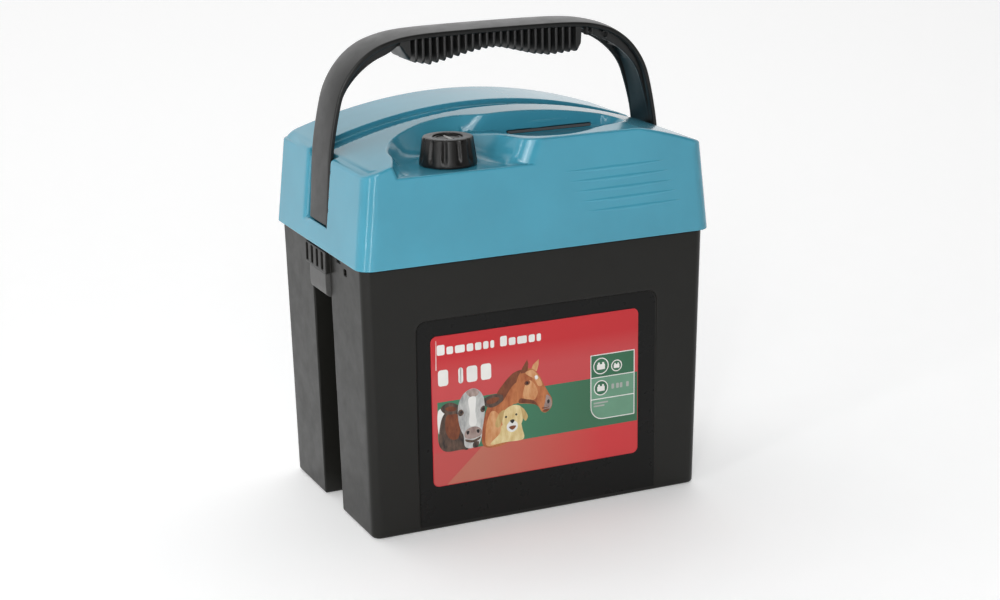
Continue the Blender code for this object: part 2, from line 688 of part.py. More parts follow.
def lid_shell(mats):
    shell = lid_body("lid_shell", 0.0, RIM_Z, mats["lid_blue"])
    cavity = lid_body("lid_cavity", LID_WALL, RIM_Z - 0.002)
    cut(cavity, pocket_cutter("pocket_wide", LID_WALL), basin_cutter("basin_wide", LID_WALL),
        ledge_cutter("ledge_wide", LID_WALL), trough_cutter("trough_wide", LID_WALL))
    for side in (-1, 1):
        cut(cavity, *groove_cutters(side, LID_WALL))
    cut(cavity, box("exit_wide", (-EXIT_RECESS[0] - LID_WALL, EXIT_RECESS_Y - LID_WALL,
                                  EXIT_Z - EXIT_RECESS[1] - LID_WALL),
                    (EXIT_RECESS[0] + LID_WALL, 0.095, EXIT_Z + EXIT_RECESS[1] + LID_WALL)))
    for k, (x, y) in enumerate(tray_screw_places()):
        boss = turned(f"boss_{k}", [(0.0040, TRAY_HIGH + GAP), (0.0034, 0.2600)], (x, y, 0.0), 16)
        cut(cavity, boss)
    cut(shell, cavity)
    cut(shell, pocket_cutter("pocket_true", 0.0), basin_cutter("basin_true", 0.0),
        ledge_cutter("ledge_true", 0.0), trough_cutter("trough_true", 0.0))
    for side in (-1, 1):
        cut(shell, *groove_cutters(side))
    cut(shell, box("exit_true", (-EXIT_RECESS[0], EXIT_RECESS_Y, EXIT_Z - EXIT_RECESS[1]),
                   (EXIT_RECESS[0], 0.095, EXIT_Z + EXIT_RECESS[1])))
    for side in (-1, 1):
        cut(shell, turned(f"exit_hole_{side}", [(0.0046, 0.0700), (0.0046, 0.0800)],
                          (side * EXIT_X, 0.0, EXIT_Z), 20, axis="Y"))
    for k, (x, y) in enumerate(tray_screw_places()):
        cut(shell, turned(f"boss_hole_{k}", [(0.0013, 0.1780), (0.0013, 0.1930)],
                          (x, y, 0.0), 12))
    cut(shell, turned("switch_hole", [(0.0049, 0.2200), (0.0049, 0.2320)],
                      (KNOB_X, KNOB_Y, 0.0), 24))
    cut(shell, box("window_slot", (WINDOW_X[0], BASIN_BACK - 0.004, WINDOW_Z[0]),
                   (WINDOW_X[1], BASIN_BACK + 0.006, WINDOW_Z[1])))
    return shell


def tray_screw_places():
    return [(sx * SCREW_X, sy * SCREW_Y) for sx in (-1, 1) for sy in (-1, 1)]


def board_screw_places():
    return [(sx * BOARD_SCREW_X, sy * BOARD_SCREW_Y) for sx in (-1, 1) for sy in (-1, 1)]


def electronics_tray(mats):
    """Floor of the lid: it closes the electronics in, and stands clear of the handle."""
    half_x, half_y = lid_half(TRAY_LOW)
    inset = LID_WALL + 0.0006
    notch = half_x - inset - (GROOVE_FLOOR_X - LID_WALL - 0.0006)
    outline = channelled_outline(half_x - inset, half_y - inset, 0.0068, 0.0248, notch)
    tray = prism("electronics_tray", outline, "Z", TRAY_LOW, TRAY_HIGH, mats["case_black"])
    for k, (x, y) in enumerate(board_screw_places()):
        post = turned(f"post_{k}", [(0.0042, TRAY_HIGH - 0.001), (0.0034, BOARD_LOW - GAP)],
                      (x, y, 0.0), 16)
        join(tray, post)
    for k, (x, y) in enumerate(tray_screw_places()):
        cut(tray, turned(f"tray_hole_{k}", [(0.0016, 0.1770), (0.0016, 0.1810)],
                         (x, y, 0.0), 12))
    for k, (x, y) in enumerate(board_screw_places()):
        cut(tray, turned(f"post_hole_{k}", [(0.0011, 0.1770), (0.0011, 0.1850)],
                         (x, y, 0.0), 12))
    opening = rounded_rectangle(0.013, 0.0045, 0.003, 3, (PLUG_X, PLUG_Y + 0.0155))
    cut(tray, prism("lead_opening", opening, "Z", 0.1760, 0.1820))
    return tray


# ---------------------------------------------------------------- circuit
def screw(name, x, y, seat, length, radius, head_radius, down, mat):
    """Pan-head screw; down is +1 where its head is on top, -1 where it is below."""
    head = 0.0018
    profile = [(radius, seat - down * length), (radius, seat), (head_radius, seat),
               (head_radius, seat + down * head * 0.6), (head_radius * 0.6, seat + down * head)]
    body = turned(name, profile, (x, y, 0.0), 16, mat)
    slot_mid = seat + down * head
    slot = box(f"{name}_slot", (x - head_radius * 0.8, y - 0.0003, slot_mid - 0.0005),
               (x + head_radius * 0.8, y + 0.0003, slot_mid + 0.0005))
    cut(body, slot)
    return body


def circuit(mats):
    board = box("circuit_board", (-0.090, -0.058, BOARD_LOW), (0.090, 0.060, BOARD_HIGH),
                mats["board_green"])
    for k, (x, y) in enumerate(board_screw_places()):
        cut(board, turned(f"board_hole_{k}", [(0.0015, 0.1830), (0.0015, 0.1870)],
                          (x, y, 0.0), 12))
        screw(f"board_screw_{k + 1}", x, y, BOARD_HIGH + GAP, 0.0048, 0.0008, 0.0024, 1,
              mats["steel"])
    for k, (x, y) in enumerate(tray_screw_places()):
        screw(f"tray_screw_{k + 1}", x, y, TRAY_LOW - GAP, 0.0120, 0.0010, 0.0028, -1,
              mats["steel"])
    seat = BOARD_HIGH + GAP
    box("storage_capacitor", (-0.036, 0.020, seat), (0.006, 0.044, seat + 0.030),
        mats["film_yellow"], 0.0012)
    output_transformer(mats, seat)
    charging_transformer(mats, seat)
    switching_stage(mats, seat)
    fuse(mats, seat)


def output_transformer(mats, seat):
    """Two-window laminated core with the coil round its middle leg."""
    x, y = 0.052, 0.012
    half = (0.022, 0.008)
    height = 0.036
    core = box("output_transformer_core", (x - half[0], y - half[1], seat),
               (x + half[0], y + half[1], seat + height), mats["ferrite"])
    for side in (-1, 1):
        window = box(f"core_window_{side}",
                     sorted_low(x + side * 0.0062, x + side * 0.0160, y - 0.02, seat + 0.0060),
                     sorted_high(x + side * 0.0062, x + side * 0.0160, y + 0.02,
                                 seat + height - 0.0060))
        cut(core, window)
    coil = prism("output_transformer_coil", rounded_rectangle(0.0155, 0.0145, 0.004, 3, (x, y)),
                 "Z", seat + 0.0064, seat + height - 0.0064, mats["copper"], 30)
    middle = box("coil_hole", (x - 0.0065, y - 0.0083, seat), (x + 0.0065, y + 0.0083,
                                                               seat + height))
    cut(coil, middle)


def charging_transformer(mats, seat):
    x, y = -0.062, 0.030
    box("charging_transformer", (x - 0.009, y - 0.008, seat), (x + 0.009, y + 0.008,
                                                               seat + 0.016),
        mats["ferrite"], 0.0010)
    turned("supply_capacitor", [(0.0058, seat), (0.0063, seat + 0.0008), (0.0063, seat + 0.0190),
                                (0.0058, seat + 0.0200)], (-0.070, 0.006, 0.0), 20,
           mats["sleeve_black"])


def switching_stage(mats, seat):
    """Thyristor screwed flat against a finned heat sink."""
    x, y = -0.020, -0.002
    sink = box("heat_sink", (x - 0.014, y, seat), (x + 0.014, y + 0.010, seat + 0.024),
               mats["aluminium"])
    bm = bmesh.new()
    for k in range(5):
        made = bmesh.ops.create_cube(bm, size=1.0)
        place = Matrix.Translation((x - 0.0108 + 0.0054 * k, y + 0.0090, seat + 0.012))
        bmesh.ops.transform(bm, matrix=place @ Matrix.Diagonal((0.0034, 0.0130, 0.030, 1.0)),
                            verts=made["verts"])
    cut(sink, make_object("sink_gaps", bm))
    box("thyristor", (x - 0.0050, y - GAP - 0.0045, seat + 0.0040),
        (x + 0.0050, y - GAP, seat + 0.0195), mats["sleeve_black"], 0.0004)


def fuse(mats, seat):
    """Glass fuse lying in a two-clip holder."""
    x, y = 0.018, -0.034
    holder = box("fuse_holder", (x - 0.0125, y - 0.0040, seat), (x + 0.0125, y + 0.0040,
                                                                 seat + 0.0065), mats["brass"])
    cut(holder, box("holder_gap", (x - 0.0065, y - 0.010, seat + 0.0010),
                    (x + 0.0065, y + 0.010, seat + 0.02)))
    cut(holder, turned("holder_bore", [(0.0029, -0.0150), (0.0029, 0.0150)],
                       (x, y, seat + 0.0050), 16, axis="X"))
    turned("fuse", [(0.0026, -0.0100), (0.0026, 0.0100)], (x, y, seat + 0.0050), 16,
           mats["fuse_glass"], axis="X")


def rotary_switch(mats):
    """Switch body under the pocket's floor, with its threaded neck, nut and shaft."""
    floor_under = POCKET_FLOOR_Z - LID_WALL
    low = floor_under - GAP - 0.0170
    body = box("rotary_switch", (KNOB_X - 0.012, KNOB_Y - 0.012, low),
               (KNOB_X + 0.012, KNOB_Y + 0.012, floor_under - GAP), mats["grey_plastic"], 0.0008)
    join(body, turned("switch_neck", [(0.0045, floor_under - 0.002), (0.0045, 0.2322)],
                      (KNOB_X, KNOB_Y, 0.0), 24))
    cut(body, turned("switch_bore", [(0.0032, low + 0.004), (0.0032, 0.2330)],
                     (KNOB_X, KNOB_Y, 0.0), 24))
    nut = prism("switch_nut", circle(0.0072, 6, (KNOB_X, KNOB_Y)), "Z",
                POCKET_FLOOR_Z + GAP, POCKET_FLOOR_Z + 0.0028, mats["steel"])
    cut(nut, turned("nut_bore", [(0.0048, 0.2270), (0.0048, 0.2330)],
                    (KNOB_X, KNOB_Y, 0.0), 24))
    shaft = turned("knob_shaft", [(0.0029, low + 0.005), (0.0029, KNOB_TOP - 0.0040)],
                   (KNOB_X, KNOB_Y, 0.0), 24, mats["brass"])
    move_origin(shaft, (KNOB_X, KNOB_Y, KNOB_BASE))


def fluted_ring(radius, z, depth):
    """Round outline with tapering finger flutes."""
    points = []
    count = KNOB_FLUTES * 6
    for k in range(count):
        angle = 2 * math.pi * k / count
        wave = max(0.0, math.cos(KNOB_FLUTES * angle)) ** 2
        r = radius - depth * wave
        points.append((KNOB_X + r * math.cos(angle), KNOB_Y + r * math.sin(angle), z))
    return points


def knob(mats):
    rings = [fluted_ring(KNOB_R_LOW - 0.0003, KNOB_BASE, 0.0),
             fluted_ring(KNOB_R_LOW, KNOB_BASE + 0.0006, 0.0),
             fluted_ring(KNOB_R_LOW - 0.0002, KNOB_BASE + 0.0020, 0.0002),
             fluted_ring(KNOB_R_HIGH + 0.0001, KNOB_TOP - 0.0006, 0.0012),
             fluted_ring(KNOB_R_HIGH - 0.0005, KNOB_TOP, 0.0008)]
    body = loft("knob", rings, mats["knob_black"], 30)
    centre = (KNOB_X, KNOB_Y, 0.0)
    cut(body, turned("knob_hollow", [(0.0086, 0.2270), (0.0086, 0.2330)], centre, 24),
        turned("knob_bore", [(0.0032, 0.2280), (0.0032, KNOB_TOP - 0.0036)], centre, 24),
        turned("knob_recess", [(0.0105, KNOB_TOP - 0.0016), (0.0105, 0.2500)], centre, 32))
    move_origin(body, (KNOB_X, KNOB_Y, KNOB_BASE))
    top = KNOB_TOP - 0.0016 + GAP
    cap = turned("knob_cap", [(0.0101, top), (0.0101, top + 0.0007), (0.0078, top + 0.0007),
                              (0.0074, top + 0.0003)], centre, 32, mats["knob_black"])
    move_origin(cap, (KNOB_X, KNOB_Y, KNOB_BASE))


def indicator(mats):
    inset = GAP
    box("indicator_window", (WINDOW_X[0] + inset, BASIN_BACK - 0.0003, WINDOW_Z[0] + inset),
        (WINDOW_X[1] - inset, BASIN_BACK + 0.0024, WINDOW_Z[1] - inset), mats["window_dark"])
    turned("indicator_led", [(0.0008, 0.0), (0.0016, 0.0008), (0.0024, 0.0022), (0.0025, 0.0060),
                             (0.0030, 0.0061), (0.0030, 0.0072)],
           (0.0315, BASIN_BACK + 0.0029, 0.2375), 16, mats["led_red"], axis="Y")


def lead_exits(mats):
    for side, name, mat in ((-1, "fence_lead_grommet", "rubber_red"),
                            (1, "earth_lead_grommet", "rubber_black")):
        profile = [(0.0022, -0.0052), (0.0054, -0.0052), (0.0054, -0.0029), (0.0043, -0.0029),
                   (0.0043, GAP), (0.0062, GAP), (0.0056, 0.0022), (0.0032, 0.0036),
                   (0.0022, 0.0036)]
        turned(name, profile, (side * EXIT_X, EXIT_RECESS_Y, EXIT_Z), 20, mats[mat],
               axis="Y", bore=True)


# ---------------------------------------------------------------- handle
def band_section(crown):
    """Closed outline of the handle seen from the front, its outer face raised by crown."""
    outside = spline(BAND_OUTSIDE, 2)
    depths = [d[0] for d in spline([(d,) for d in BAND_DEPTH], 2)]
    outer, inner = [], []
    for k, (x, z) in enumerate(outside):
        before = Vector(outside[max(k - 1, 0)])
        after = Vector(outside[min(k + 1, len(outside) - 1)])
        along = (after - before).normalized()
        normal = Vector((along.y, -along.x))
        if k == len(outside) - 1:
            normal = Vector((0.0, 1.0))
        here = Vector((x, z))
        lift = crown * min(1.0, max(0.0, (z - 0.240) / 0.030))
        outer.append(here + normal * lift)
        inner.append(here - normal * depths[k])
    right = [(p.x, p.y) for p in outer]
    left = [(-p.x, p.y) for p in reversed(outer[:-1])]
    inner_left = [(-p.x, p.y) for p in inner]
    inner_right = [(p.x, p.y) for p in reversed(inner[:-1])]
    return right + left + inner_left + inner_right


def channel_section():
    """Outline of the hollow between the flanges, left of the legs and round the corners."""
    outside = spline(BAND_OUTSIDE, 2)
    start = next(k for k, p in enumerate(outside) if p[1] > CHANNEL_START_Z)
    upper, lower = [], []
    for k in range(start, len(outside)):
        before = Vector(outside[k - 1])
        after = Vector(outside[min(k + 1, len(outside) - 1)])
        along = (after - before).normalized()
        normal = Vector((along.y, -along.x)) if k < len(outside) - 1 else Vector((0.0, 1.0))
        upper.append(Vector(outside[k]) - normal * BAND_THICK)
        lower.append(Vector(outside[k]) - normal * 0.016)
    right = [(p.x, p.y) for p in upper]
    left = [(-p.x, p.y) for p in reversed(upper[:-1])]
    back_left = [(-p.x, p.y) for p in lower]
    back_right = [(p.x, p.y) for p in reversed(lower[:-1])]
    return right + left + back_left + back_right


def handle(mats):
    crowns = [(-BAND_HALF, 0.0), (-BAND_HALF + 0.003, BAND_CROWN * 0.75), (0.0, BAND_CROWN),
              (BAND_HALF - 0.003, BAND_CROWN * 0.75), (BAND_HALF, 0.0)]
    rings = [[(x, y, z) for x, z in band_section(crown)] for y, crown in crowns]
    body = loft("handle", rings, mats["handle_black"], 30, twisted=True)
    inside = BAND_HALF - FLANGE_WALL
    cut(body, prism("handle_channel", channel_section(), "Y", -inside, inside))
    top = 0.3010
    grip_outline = [(-0.0680, top)] + GRIP_UNDERSIDE + [(0.0590, top)]
    join(body, prism("grip_block", grip_outline, "Y", -BAND_HALF + 0.0002, BAND_HALF - 0.0002))
    cut(body, fin_gaps())
    for side in (-1, 1):
        neck = box(f"stud_neck_{side}",
                   sorted_low(side * 0.1052, side * 0.1150, -STUD_HALF, STUD_Z[0]),
                   sorted_high(side * 0.1052, side * 0.1150, STUD_HALF, STUD_Z[1]))
        head = box(f"stud_head_{side}",
                   sorted_low(side * 0.1034, side * 0.1058, -0.0050, STUD_Z[0] - 0.002),
                   sorted_high(side * 0.1034, side * 0.1058, 0.0050, STUD_Z[1] + 0.002))
        join(body, neck, head)
    move_origin(body, (0.0, 0.0, HANDLE_FOOT_Z))
    return body


def fin_gaps():
    """Gaps between the grip's fins, cut from the front and from the back to a spine."""
    bm = bmesh.new()
    spine = 0.003
    for k in range(GRIP_FINS):
        x = -0.0595 + GRIP_PITCH * k
        for side in (-1, 1):
            made = bmesh.ops.create_cube(bm, size=1.0)
            depth = 0.020
            place = Matrix.Translation((x, side * (spine + depth / 2), 0.2895))
            shape = Matrix.Diagonal((FIN_GAP, depth, 0.0203, 1.0))
            bmesh.ops.transform(bm, matrix=place @ shape, verts=made["verts"])
    return make_object("fin_gaps", bm)


def main():
    clear_scene()
    mats = make_materials()
    battery_case(mats)
    label(mats)
    for side in (-1, 1):
        latch(side, mats)
    socket_high = battery(mats)
    battery_plug(mats, socket_high)
    lid_shell(mats)
    electronics_tray(mats)
    circuit(mats)
    rotary_switch(mats)
    knob(mats)
    indicator(mats)
    lead_exits(mats)
    handle(mats)


main()
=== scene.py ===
"""Looks of the fence energizer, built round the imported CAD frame.  Metres, +Z up, front at -Y."""
import json
from functools import reduce
from math import cos, pi, radians, sin

import bmesh
import bpy
import numpy as np
from mathutils import Matrix, Vector


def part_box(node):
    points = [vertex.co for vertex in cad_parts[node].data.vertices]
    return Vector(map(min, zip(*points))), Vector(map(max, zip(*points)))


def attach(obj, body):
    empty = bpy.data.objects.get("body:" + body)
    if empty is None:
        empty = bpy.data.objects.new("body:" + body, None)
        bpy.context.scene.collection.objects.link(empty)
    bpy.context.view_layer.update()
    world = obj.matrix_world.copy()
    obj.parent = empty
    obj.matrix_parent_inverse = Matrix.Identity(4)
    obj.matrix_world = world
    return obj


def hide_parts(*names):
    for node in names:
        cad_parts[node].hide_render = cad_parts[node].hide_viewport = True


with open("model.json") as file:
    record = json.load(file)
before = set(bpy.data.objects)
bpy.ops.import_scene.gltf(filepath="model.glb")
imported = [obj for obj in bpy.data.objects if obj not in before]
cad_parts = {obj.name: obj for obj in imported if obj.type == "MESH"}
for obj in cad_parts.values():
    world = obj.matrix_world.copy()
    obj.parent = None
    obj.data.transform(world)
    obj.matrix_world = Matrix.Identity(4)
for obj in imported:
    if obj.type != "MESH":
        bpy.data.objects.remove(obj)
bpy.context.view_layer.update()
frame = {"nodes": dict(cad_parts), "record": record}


# -------- sizes, from the frame
LID_LOW, LID_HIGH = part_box("lid_shell")
KNOB_LOW, KNOB_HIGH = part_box("knob")
LABEL_LOW, LABEL_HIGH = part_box("label")
HANDLE_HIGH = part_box("handle")[1]
WINDOW_LOW, WINDOW_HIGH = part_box("indicator_window")

# case
CASE_TOP = 0.1725
CASE_BASE_HALF = (0.1136, 0.0726)
CASE_TOP_HALF = (0.1168, 0.0742)
CASE_CORNER = 0.006
CASE_WALL = 0.0028
CHANNEL_HALF = 0.0165
CHANNEL_DEPTH = 0.015
PANEL_Y = LABEL_HIGH.y + 0.0003
PANEL_HALF = 0.0831
PANEL_TOP = 0.137
COMB_HALF = 0.0185
COMB_PITCH = 0.0092
COMB_BOTTOM = 0.159
BEARING = (0.1112, 0.1635)   # trunnion seats of the latches (x, z)
TONGUE_HALF = 0.0145      # half width of a latch's tongue

# lid
RIM_Z = LID_LOW.z
RIM_HALF = (LID_HIGH.x, LID_HIGH.y)
SHOULDER_HALF = (0.1140, 0.0784)
SHOULDER_Z = 0.2310
LID_CORNER = 0.010
LID_WALL = 0.0025
ARCH_TOP = LID_HIGH.z
ARCH_RADIUS = 0.310
FRONT_RIBS = 5
FRONT_RIB_HALF = 0.0016
FRONT_RIB_PROUD = 0.00028
POCKET_FLOOR = 0.2284
LEDGE_Z = 0.2436
BASIN_FLOOR = 0.2360
BASIN_BACK = -0.0245
POCKET_PAIRS = [          # floor point, matching point of the upper edge, its height (0: the arch)
    ((-0.1000, -0.1000), (-0.1050, -0.1000), 0.0),
    ((-0.0934, -0.0785), (-0.0975, -0.0785), 0.0),
    ((-0.0830, -0.0620), (-0.0900, -0.0600), 0.0),
    ((-0.0770, -0.0500), (-0.0880, -0.0450), 0.0),
    ((-0.0680, -0.0370), (-0.0780, -0.0290), 0.0),
    ((-0.0600, -0.0320), (-0.0633, -0.0182), 0.0),
    ((-0.0515, -0.0300), (-0.0500, -0.0130), 0.0),
    ((-0.0430, -0.0320), (-0.0372, -0.0124), 0.0),
    ((-0.0370, -0.0350), (-0.0250, -0.0165), 0.0),
    ((-0.0330, -0.0410), (-0.0235, -0.0320), 0.2415),
    ((-0.0295, -0.0510), (-0.0185, -0.0475), 0.2436),
    ((-0.0250, -0.0630), (-0.0145, -0.0620), 0.2436),
    ((-0.0165, -0.0785), (-0.0080, -0.0785), 0.2436),
    ((-0.0020, -0.1000), (0.0065, -0.1000), 0.2436),
]
POCKET_STEEP = 0.68       # share of the wall's lean that is left above its deep fillet
RIDGE_DROP = 0.0034       # the ledge between pocket and basin sinks towards the back wall
BASIN_OUTLINE = [         # x, y, how far the wall leans out for each metre up
    (0.0032, BASIN_BACK, 3.2), (0.0100, BASIN_BACK, 0.1), (0.0610, BASIN_BACK, 0.08),
    (0.0685, -0.0270, 0.3), (0.0715, -0.0350, 0.7), (0.0690, -0.0420, 1.0),
    (0.0600, -0.0478, 1.1), (0.0500, -0.0508, 1.1), (0.0400, -0.0553, 1.1),
    (0.0300, -0.0613, 1.1), (0.0180, -0.0652, 1.0), (0.0050, -0.0625, 1.0),
    (0.0005, -0.0540, 1.4), (0.0000, -0.0420, 1.8), (0.0012, -0.0320, 2.5),
]
TROUGH_FRONT = -0.0007
TROUGH_BACK = 0.0222
TROUGH_STEP_BACK = 0.0195
TROUGH_STEP = 0.0030
TROUGH_DEPTH = 0.0058
GROOVE_FLOOR_X = 0.1088
GROOVE_Y = (-0.0185, 0.0215)
FOOT_Z = 0.1876
LEG_SLOT_X = 0.1176
TRAY_SCREW = (0.098, 0.062)   # bosses (x, y)
LEAD_EXIT = (0.015, 0.196)    # holes in the back (x, z)
FAR = 1.0                 # past everything: a cut that is open on that side

# knob
KNOB_X = (KNOB_LOW.x + KNOB_HIGH.x) / 2
KNOB_Y = (KNOB_LOW.y + KNOB_HIGH.y) / 2
KNOB_R = (KNOB_HIGH.x - KNOB_LOW.x) / 2
KNOB_FLUTES = 12

# handle
BAND_HALF = HANDLE_HIGH.y
BAND_THICK = 0.003
BAND_CROWN = 0.0015
BAND_OUTSIDE = [          # front edge of the band's outer face, from foot to middle (x, z)
    (0.1172, 0.1880), (0.1157, 0.2095), (0.1142, 0.2310), (0.1122, 0.2440),
    (0.1092, 0.2585), (0.1050, 0.2725), (0.0955, 0.2865), (0.0835, 0.2955),
    (0.0720, 0.2995), (0.0600, 0.3018), (0.0400, 0.3028), (0.0, 0.3030),
]
BAND_DEPTH = [0.0030, 0.0030, 0.0030, 0.0033, 0.0042, 0.0052, 0.0074, 0.0082,
              0.0080, 0.0031, 0.0031, 0.0031]
FLANGE_SETBACK = 0.0046   # the front flange stands back from the band's edge
GRIP_UNDERSIDE = [
    (-0.0652, 0.2956), (-0.0596, 0.2872), (-0.0560, 0.2849), (-0.0452, 0.2826),
    (-0.0351, 0.2843), (-0.0249, 0.2866), (-0.0146, 0.2886), (-0.0043, 0.2900),
    (0.0039, 0.2897), (0.0129, 0.2874), (0.0268, 0.2838), (0.0373, 0.2823),
    (0.0480, 0.2828), (0.0565, 0.2834), (0.0587, 0.2871), (0.0590, 0.2956),
]
GRIP_FINS = 24
GRIP_PITCH = 0.0048
GRIP_FIRST_GAP = -0.0570
FIN_GAP = 0.0031
GRIP_DROP = 0.0014        # the grip's top lies this far inside the band
HOOK_X = 0.0765

# label
FILM_SETBACK = 0.00012    # the film lies this far behind the label's front, its print on top
INK_THICK = 0.00001
LAYER = 0.0000012         # each printed shape stands this much in front of the one before


# -------- materials
class Nodes:
    """Short ways to add nodes to a shader tree."""

    def __init__(self, tree):
        self.tree = tree

    def fill(self, socket, value):
        """Link a socket to another node's output, or give it a value."""
        if isinstance(value, bpy.types.NodeSocket):
            self.tree.links.new(value, socket)
        else:
            socket.default_value = (*value, 1.0) if socket.type == "RGBA" else value

    def feed(self, node, **inputs):
        """Fill the sockets of a node that are given by name."""
        for key, value in inputs.items():
            self.fill(node.inputs[key.replace("_", " ")], value)
        return node

    def add(self, kind, **inputs):
        return self.feed(self.tree.nodes.new("ShaderNode" + kind), **inputs)

    def ramp(self, source, low, high, at_low=0.0, at_high=1.0):
        """Map a grey value from [low, high] to [at_low, at_high]."""
        return self.add("MapRange", Value=source, From_Min=low, From_Max=high, To_Min=at_low,
                        To_Max=at_high).outputs["Result"]

    def mix(self, share, a, b):
        """Colour from a to b, each a colour or another node's output."""
        node = self.add("Mix")
        node.data_type = "RGBA"
        for index, value in ((0, share), (6, a), (7, b)):
            self.fill(node.inputs[index], value)
        return node.outputs[2]

    def maths(self, operation, a, b):
        node = self.add("Math")
        node.operation = operation
        for socket, value in zip(node.inputs, (a, b)):
            self.fill(socket, value)
        return node.outputs[0]


class Recipe(Nodes):
    """Principled material with uniform values on its own sockets, and nodes on top of them."""

    def __init__(self, name, colour, roughness, **inputs):
        self.mat = bpy.data.materials.new(name)
        self.mat.use_nodes = True
        super().__init__(self.mat.node_tree)
        self.shader = self.tree.nodes["Principled BSDF"]
        self.shade(Base_Color=colour, Roughness=roughness, **inputs)
        self.coords = self.add("TexCoord").outputs["Object"]

    def shade(self, **inputs):
        self.feed(self.shader, **inputs)

    def noise(self, scale, detail=2.0, roughness=0.5, vector=None):
        return self.add("TexNoise", Vector=vector or self.coords, Scale=scale, Detail=detail,
                        Roughness=roughness).outputs["Fac"]

    def mapped(self, **inputs):
        return self.add("Mapping", Vector=self.coords, **inputs).outputs["Vector"]

    def bumps(self, *layers):
        """Chain of bumps: each layer is (grey output, strength, distance)."""
        below = {}
        for height, strength, distance in layers:
            bump = self.add("Bump", Height=height, Strength=strength, Distance=distance, **below)
            below = {"Normal": bump.outputs["Normal"]}
        self.shade(**below)
        return self.mat


def scaled(colour, factor):
    return tuple(min(1.0, c * factor) for c in colour)


def plastic(name, colour, worn, roughness, grain=0.00002, waviness=0.0, spread=0.05, specular=0.5):
    """Injection-moulded plastic: fine grain, faint flow marks, handled sheen and worn edges."""
    m = Recipe(name, colour, roughness, Specular_IOR_Level=specular)
    flow = m.noise(22.0, 3.0)
    tone = m.mix(m.ramp(flow, 0.35, 0.65), colour, scaled(colour, 1.10))
    edge = m.ramp(m.add("NewGeometry").outputs["Pointiness"], 0.53, 0.60, 0.0, 0.55)
    patches = m.noise(90.0, 4.0, 0.6)
    m.shade(Base_Color=m.mix(edge, tone, worn),
            Roughness=m.ramp(patches, 0.30, 0.70, roughness - spread, roughness + spread))
    layers = [(m.noise(2600.0), 0.35, grain), (flow, 0.5, waviness)]
    return m.bumps(*layers[:2 if waviness else 1])


def metal(name, colour, roughness):
    """Metal with fine drawn lines and a little tarnish."""
    m = Recipe(name, colour, roughness, Metallic=1.0)
    lines = m.noise(900.0, 3.0, vector=m.mapped(Scale=(1.0, 1.0, 12.0)))
    m.shade(Base_Color=m.mix(m.ramp(m.noise(160.0, 4.0), 0.4, 0.75), colour, scaled(colour, 0.72)),
            Roughness=m.ramp(lines, 0.3, 0.7, roughness - 0.08, roughness + 0.12))
    return m.bumps((lines, 0.3, 0.00002))


def banded(name, colour, other, roughness, scale, direction, metallic=0.0):
    """Wound or laminated surface: fine bands across one direction."""
    m = Recipe(name, colour, roughness, Metallic=metallic)
    wave = m.add("TexWave", Vector=m.coords, Scale=scale, Distortion=0.3)
    wave.wave_type = "BANDS"
    wave.bands_direction = direction
    m.shade(Base_Color=m.mix(wave.outputs["Fac"], other, colour))
    return m.bumps((wave.outputs["Fac"], 0.8, 0.0002))


LAMINATE = {"Coat_Weight": 0.08, "Coat_Roughness": 0.16, "Specular_IOR_Level": 0.25}


def printed(name, colour, second=None, axis=None, low=0.35, high=0.68):
    """Printed film under a gloss laminate: clouds of two tones, or one shading to the other."""
    m = Recipe(name, colour, 0.34, **LAMINATE)
    cloud = m.noise(60.0, 3.0)
    share = m.add("SeparateXYZ", Vector=m.coords).outputs[axis] if axis else cloud
    m.shade(Base_Color=m.mix(m.ramp(share, low, high), colour, second or scaled(colour, 0.90)),
            Roughness=m.ramp(cloud, 0.3, 0.7, 0.30, 0.38))
    screen = (m.noise(3500.0, 1.0), 0.2, 0.00001)
    return m.bumps(screen) if axis else m.bumps(screen, (cloud, 0.15, 0.0002))


def fur(name, colour, other, scale):
    """Printed coat of an animal: two tones in soft streaks."""
    m = Recipe(name, colour, 0.36, Coat_Weight=0.08, Specular_IOR_Level=0.25)
    streaks = m.mapped(Scale=(2.2, 1.0, 0.8), Rotation=(0.0, 0.35, 0.0))
    soft = m.noise(scale, 5.0, 0.62, streaks)
    m.shade(Base_Color=m.mix(m.ramp(soft, 0.36, 0.66), colour, other))
    return m.bumps((soft, 0.2, 0.00002))


def circuit_green(name):
    """Solder resist over copper tracks."""
    m = Recipe(name, (0.010, 0.110, 0.045), 0.35)
    tracks = m.add("TexBrick", Vector=m.coords, Scale=140.0, Mortar_Size=0.035,
                   Color1=(0.012, 0.150, 0.055), Color2=(0.008, 0.090, 0.035),
                   Mortar=(0.020, 0.220, 0.080))
    m.shade(Base_Color=tracks.outputs["Color"])
    return m.bumps((tracks.outputs["Fac"], 0.6, 0.00004))


def clear_glass(name):
    m = Recipe(name, (0.92, 0.96, 0.96), 0.04, Transmission_Weight=0.9)
    m.shade(Roughness=m.ramp(m.noise(260.0), 0.4, 0.7, 0.03, 0.12))
    return m.mat


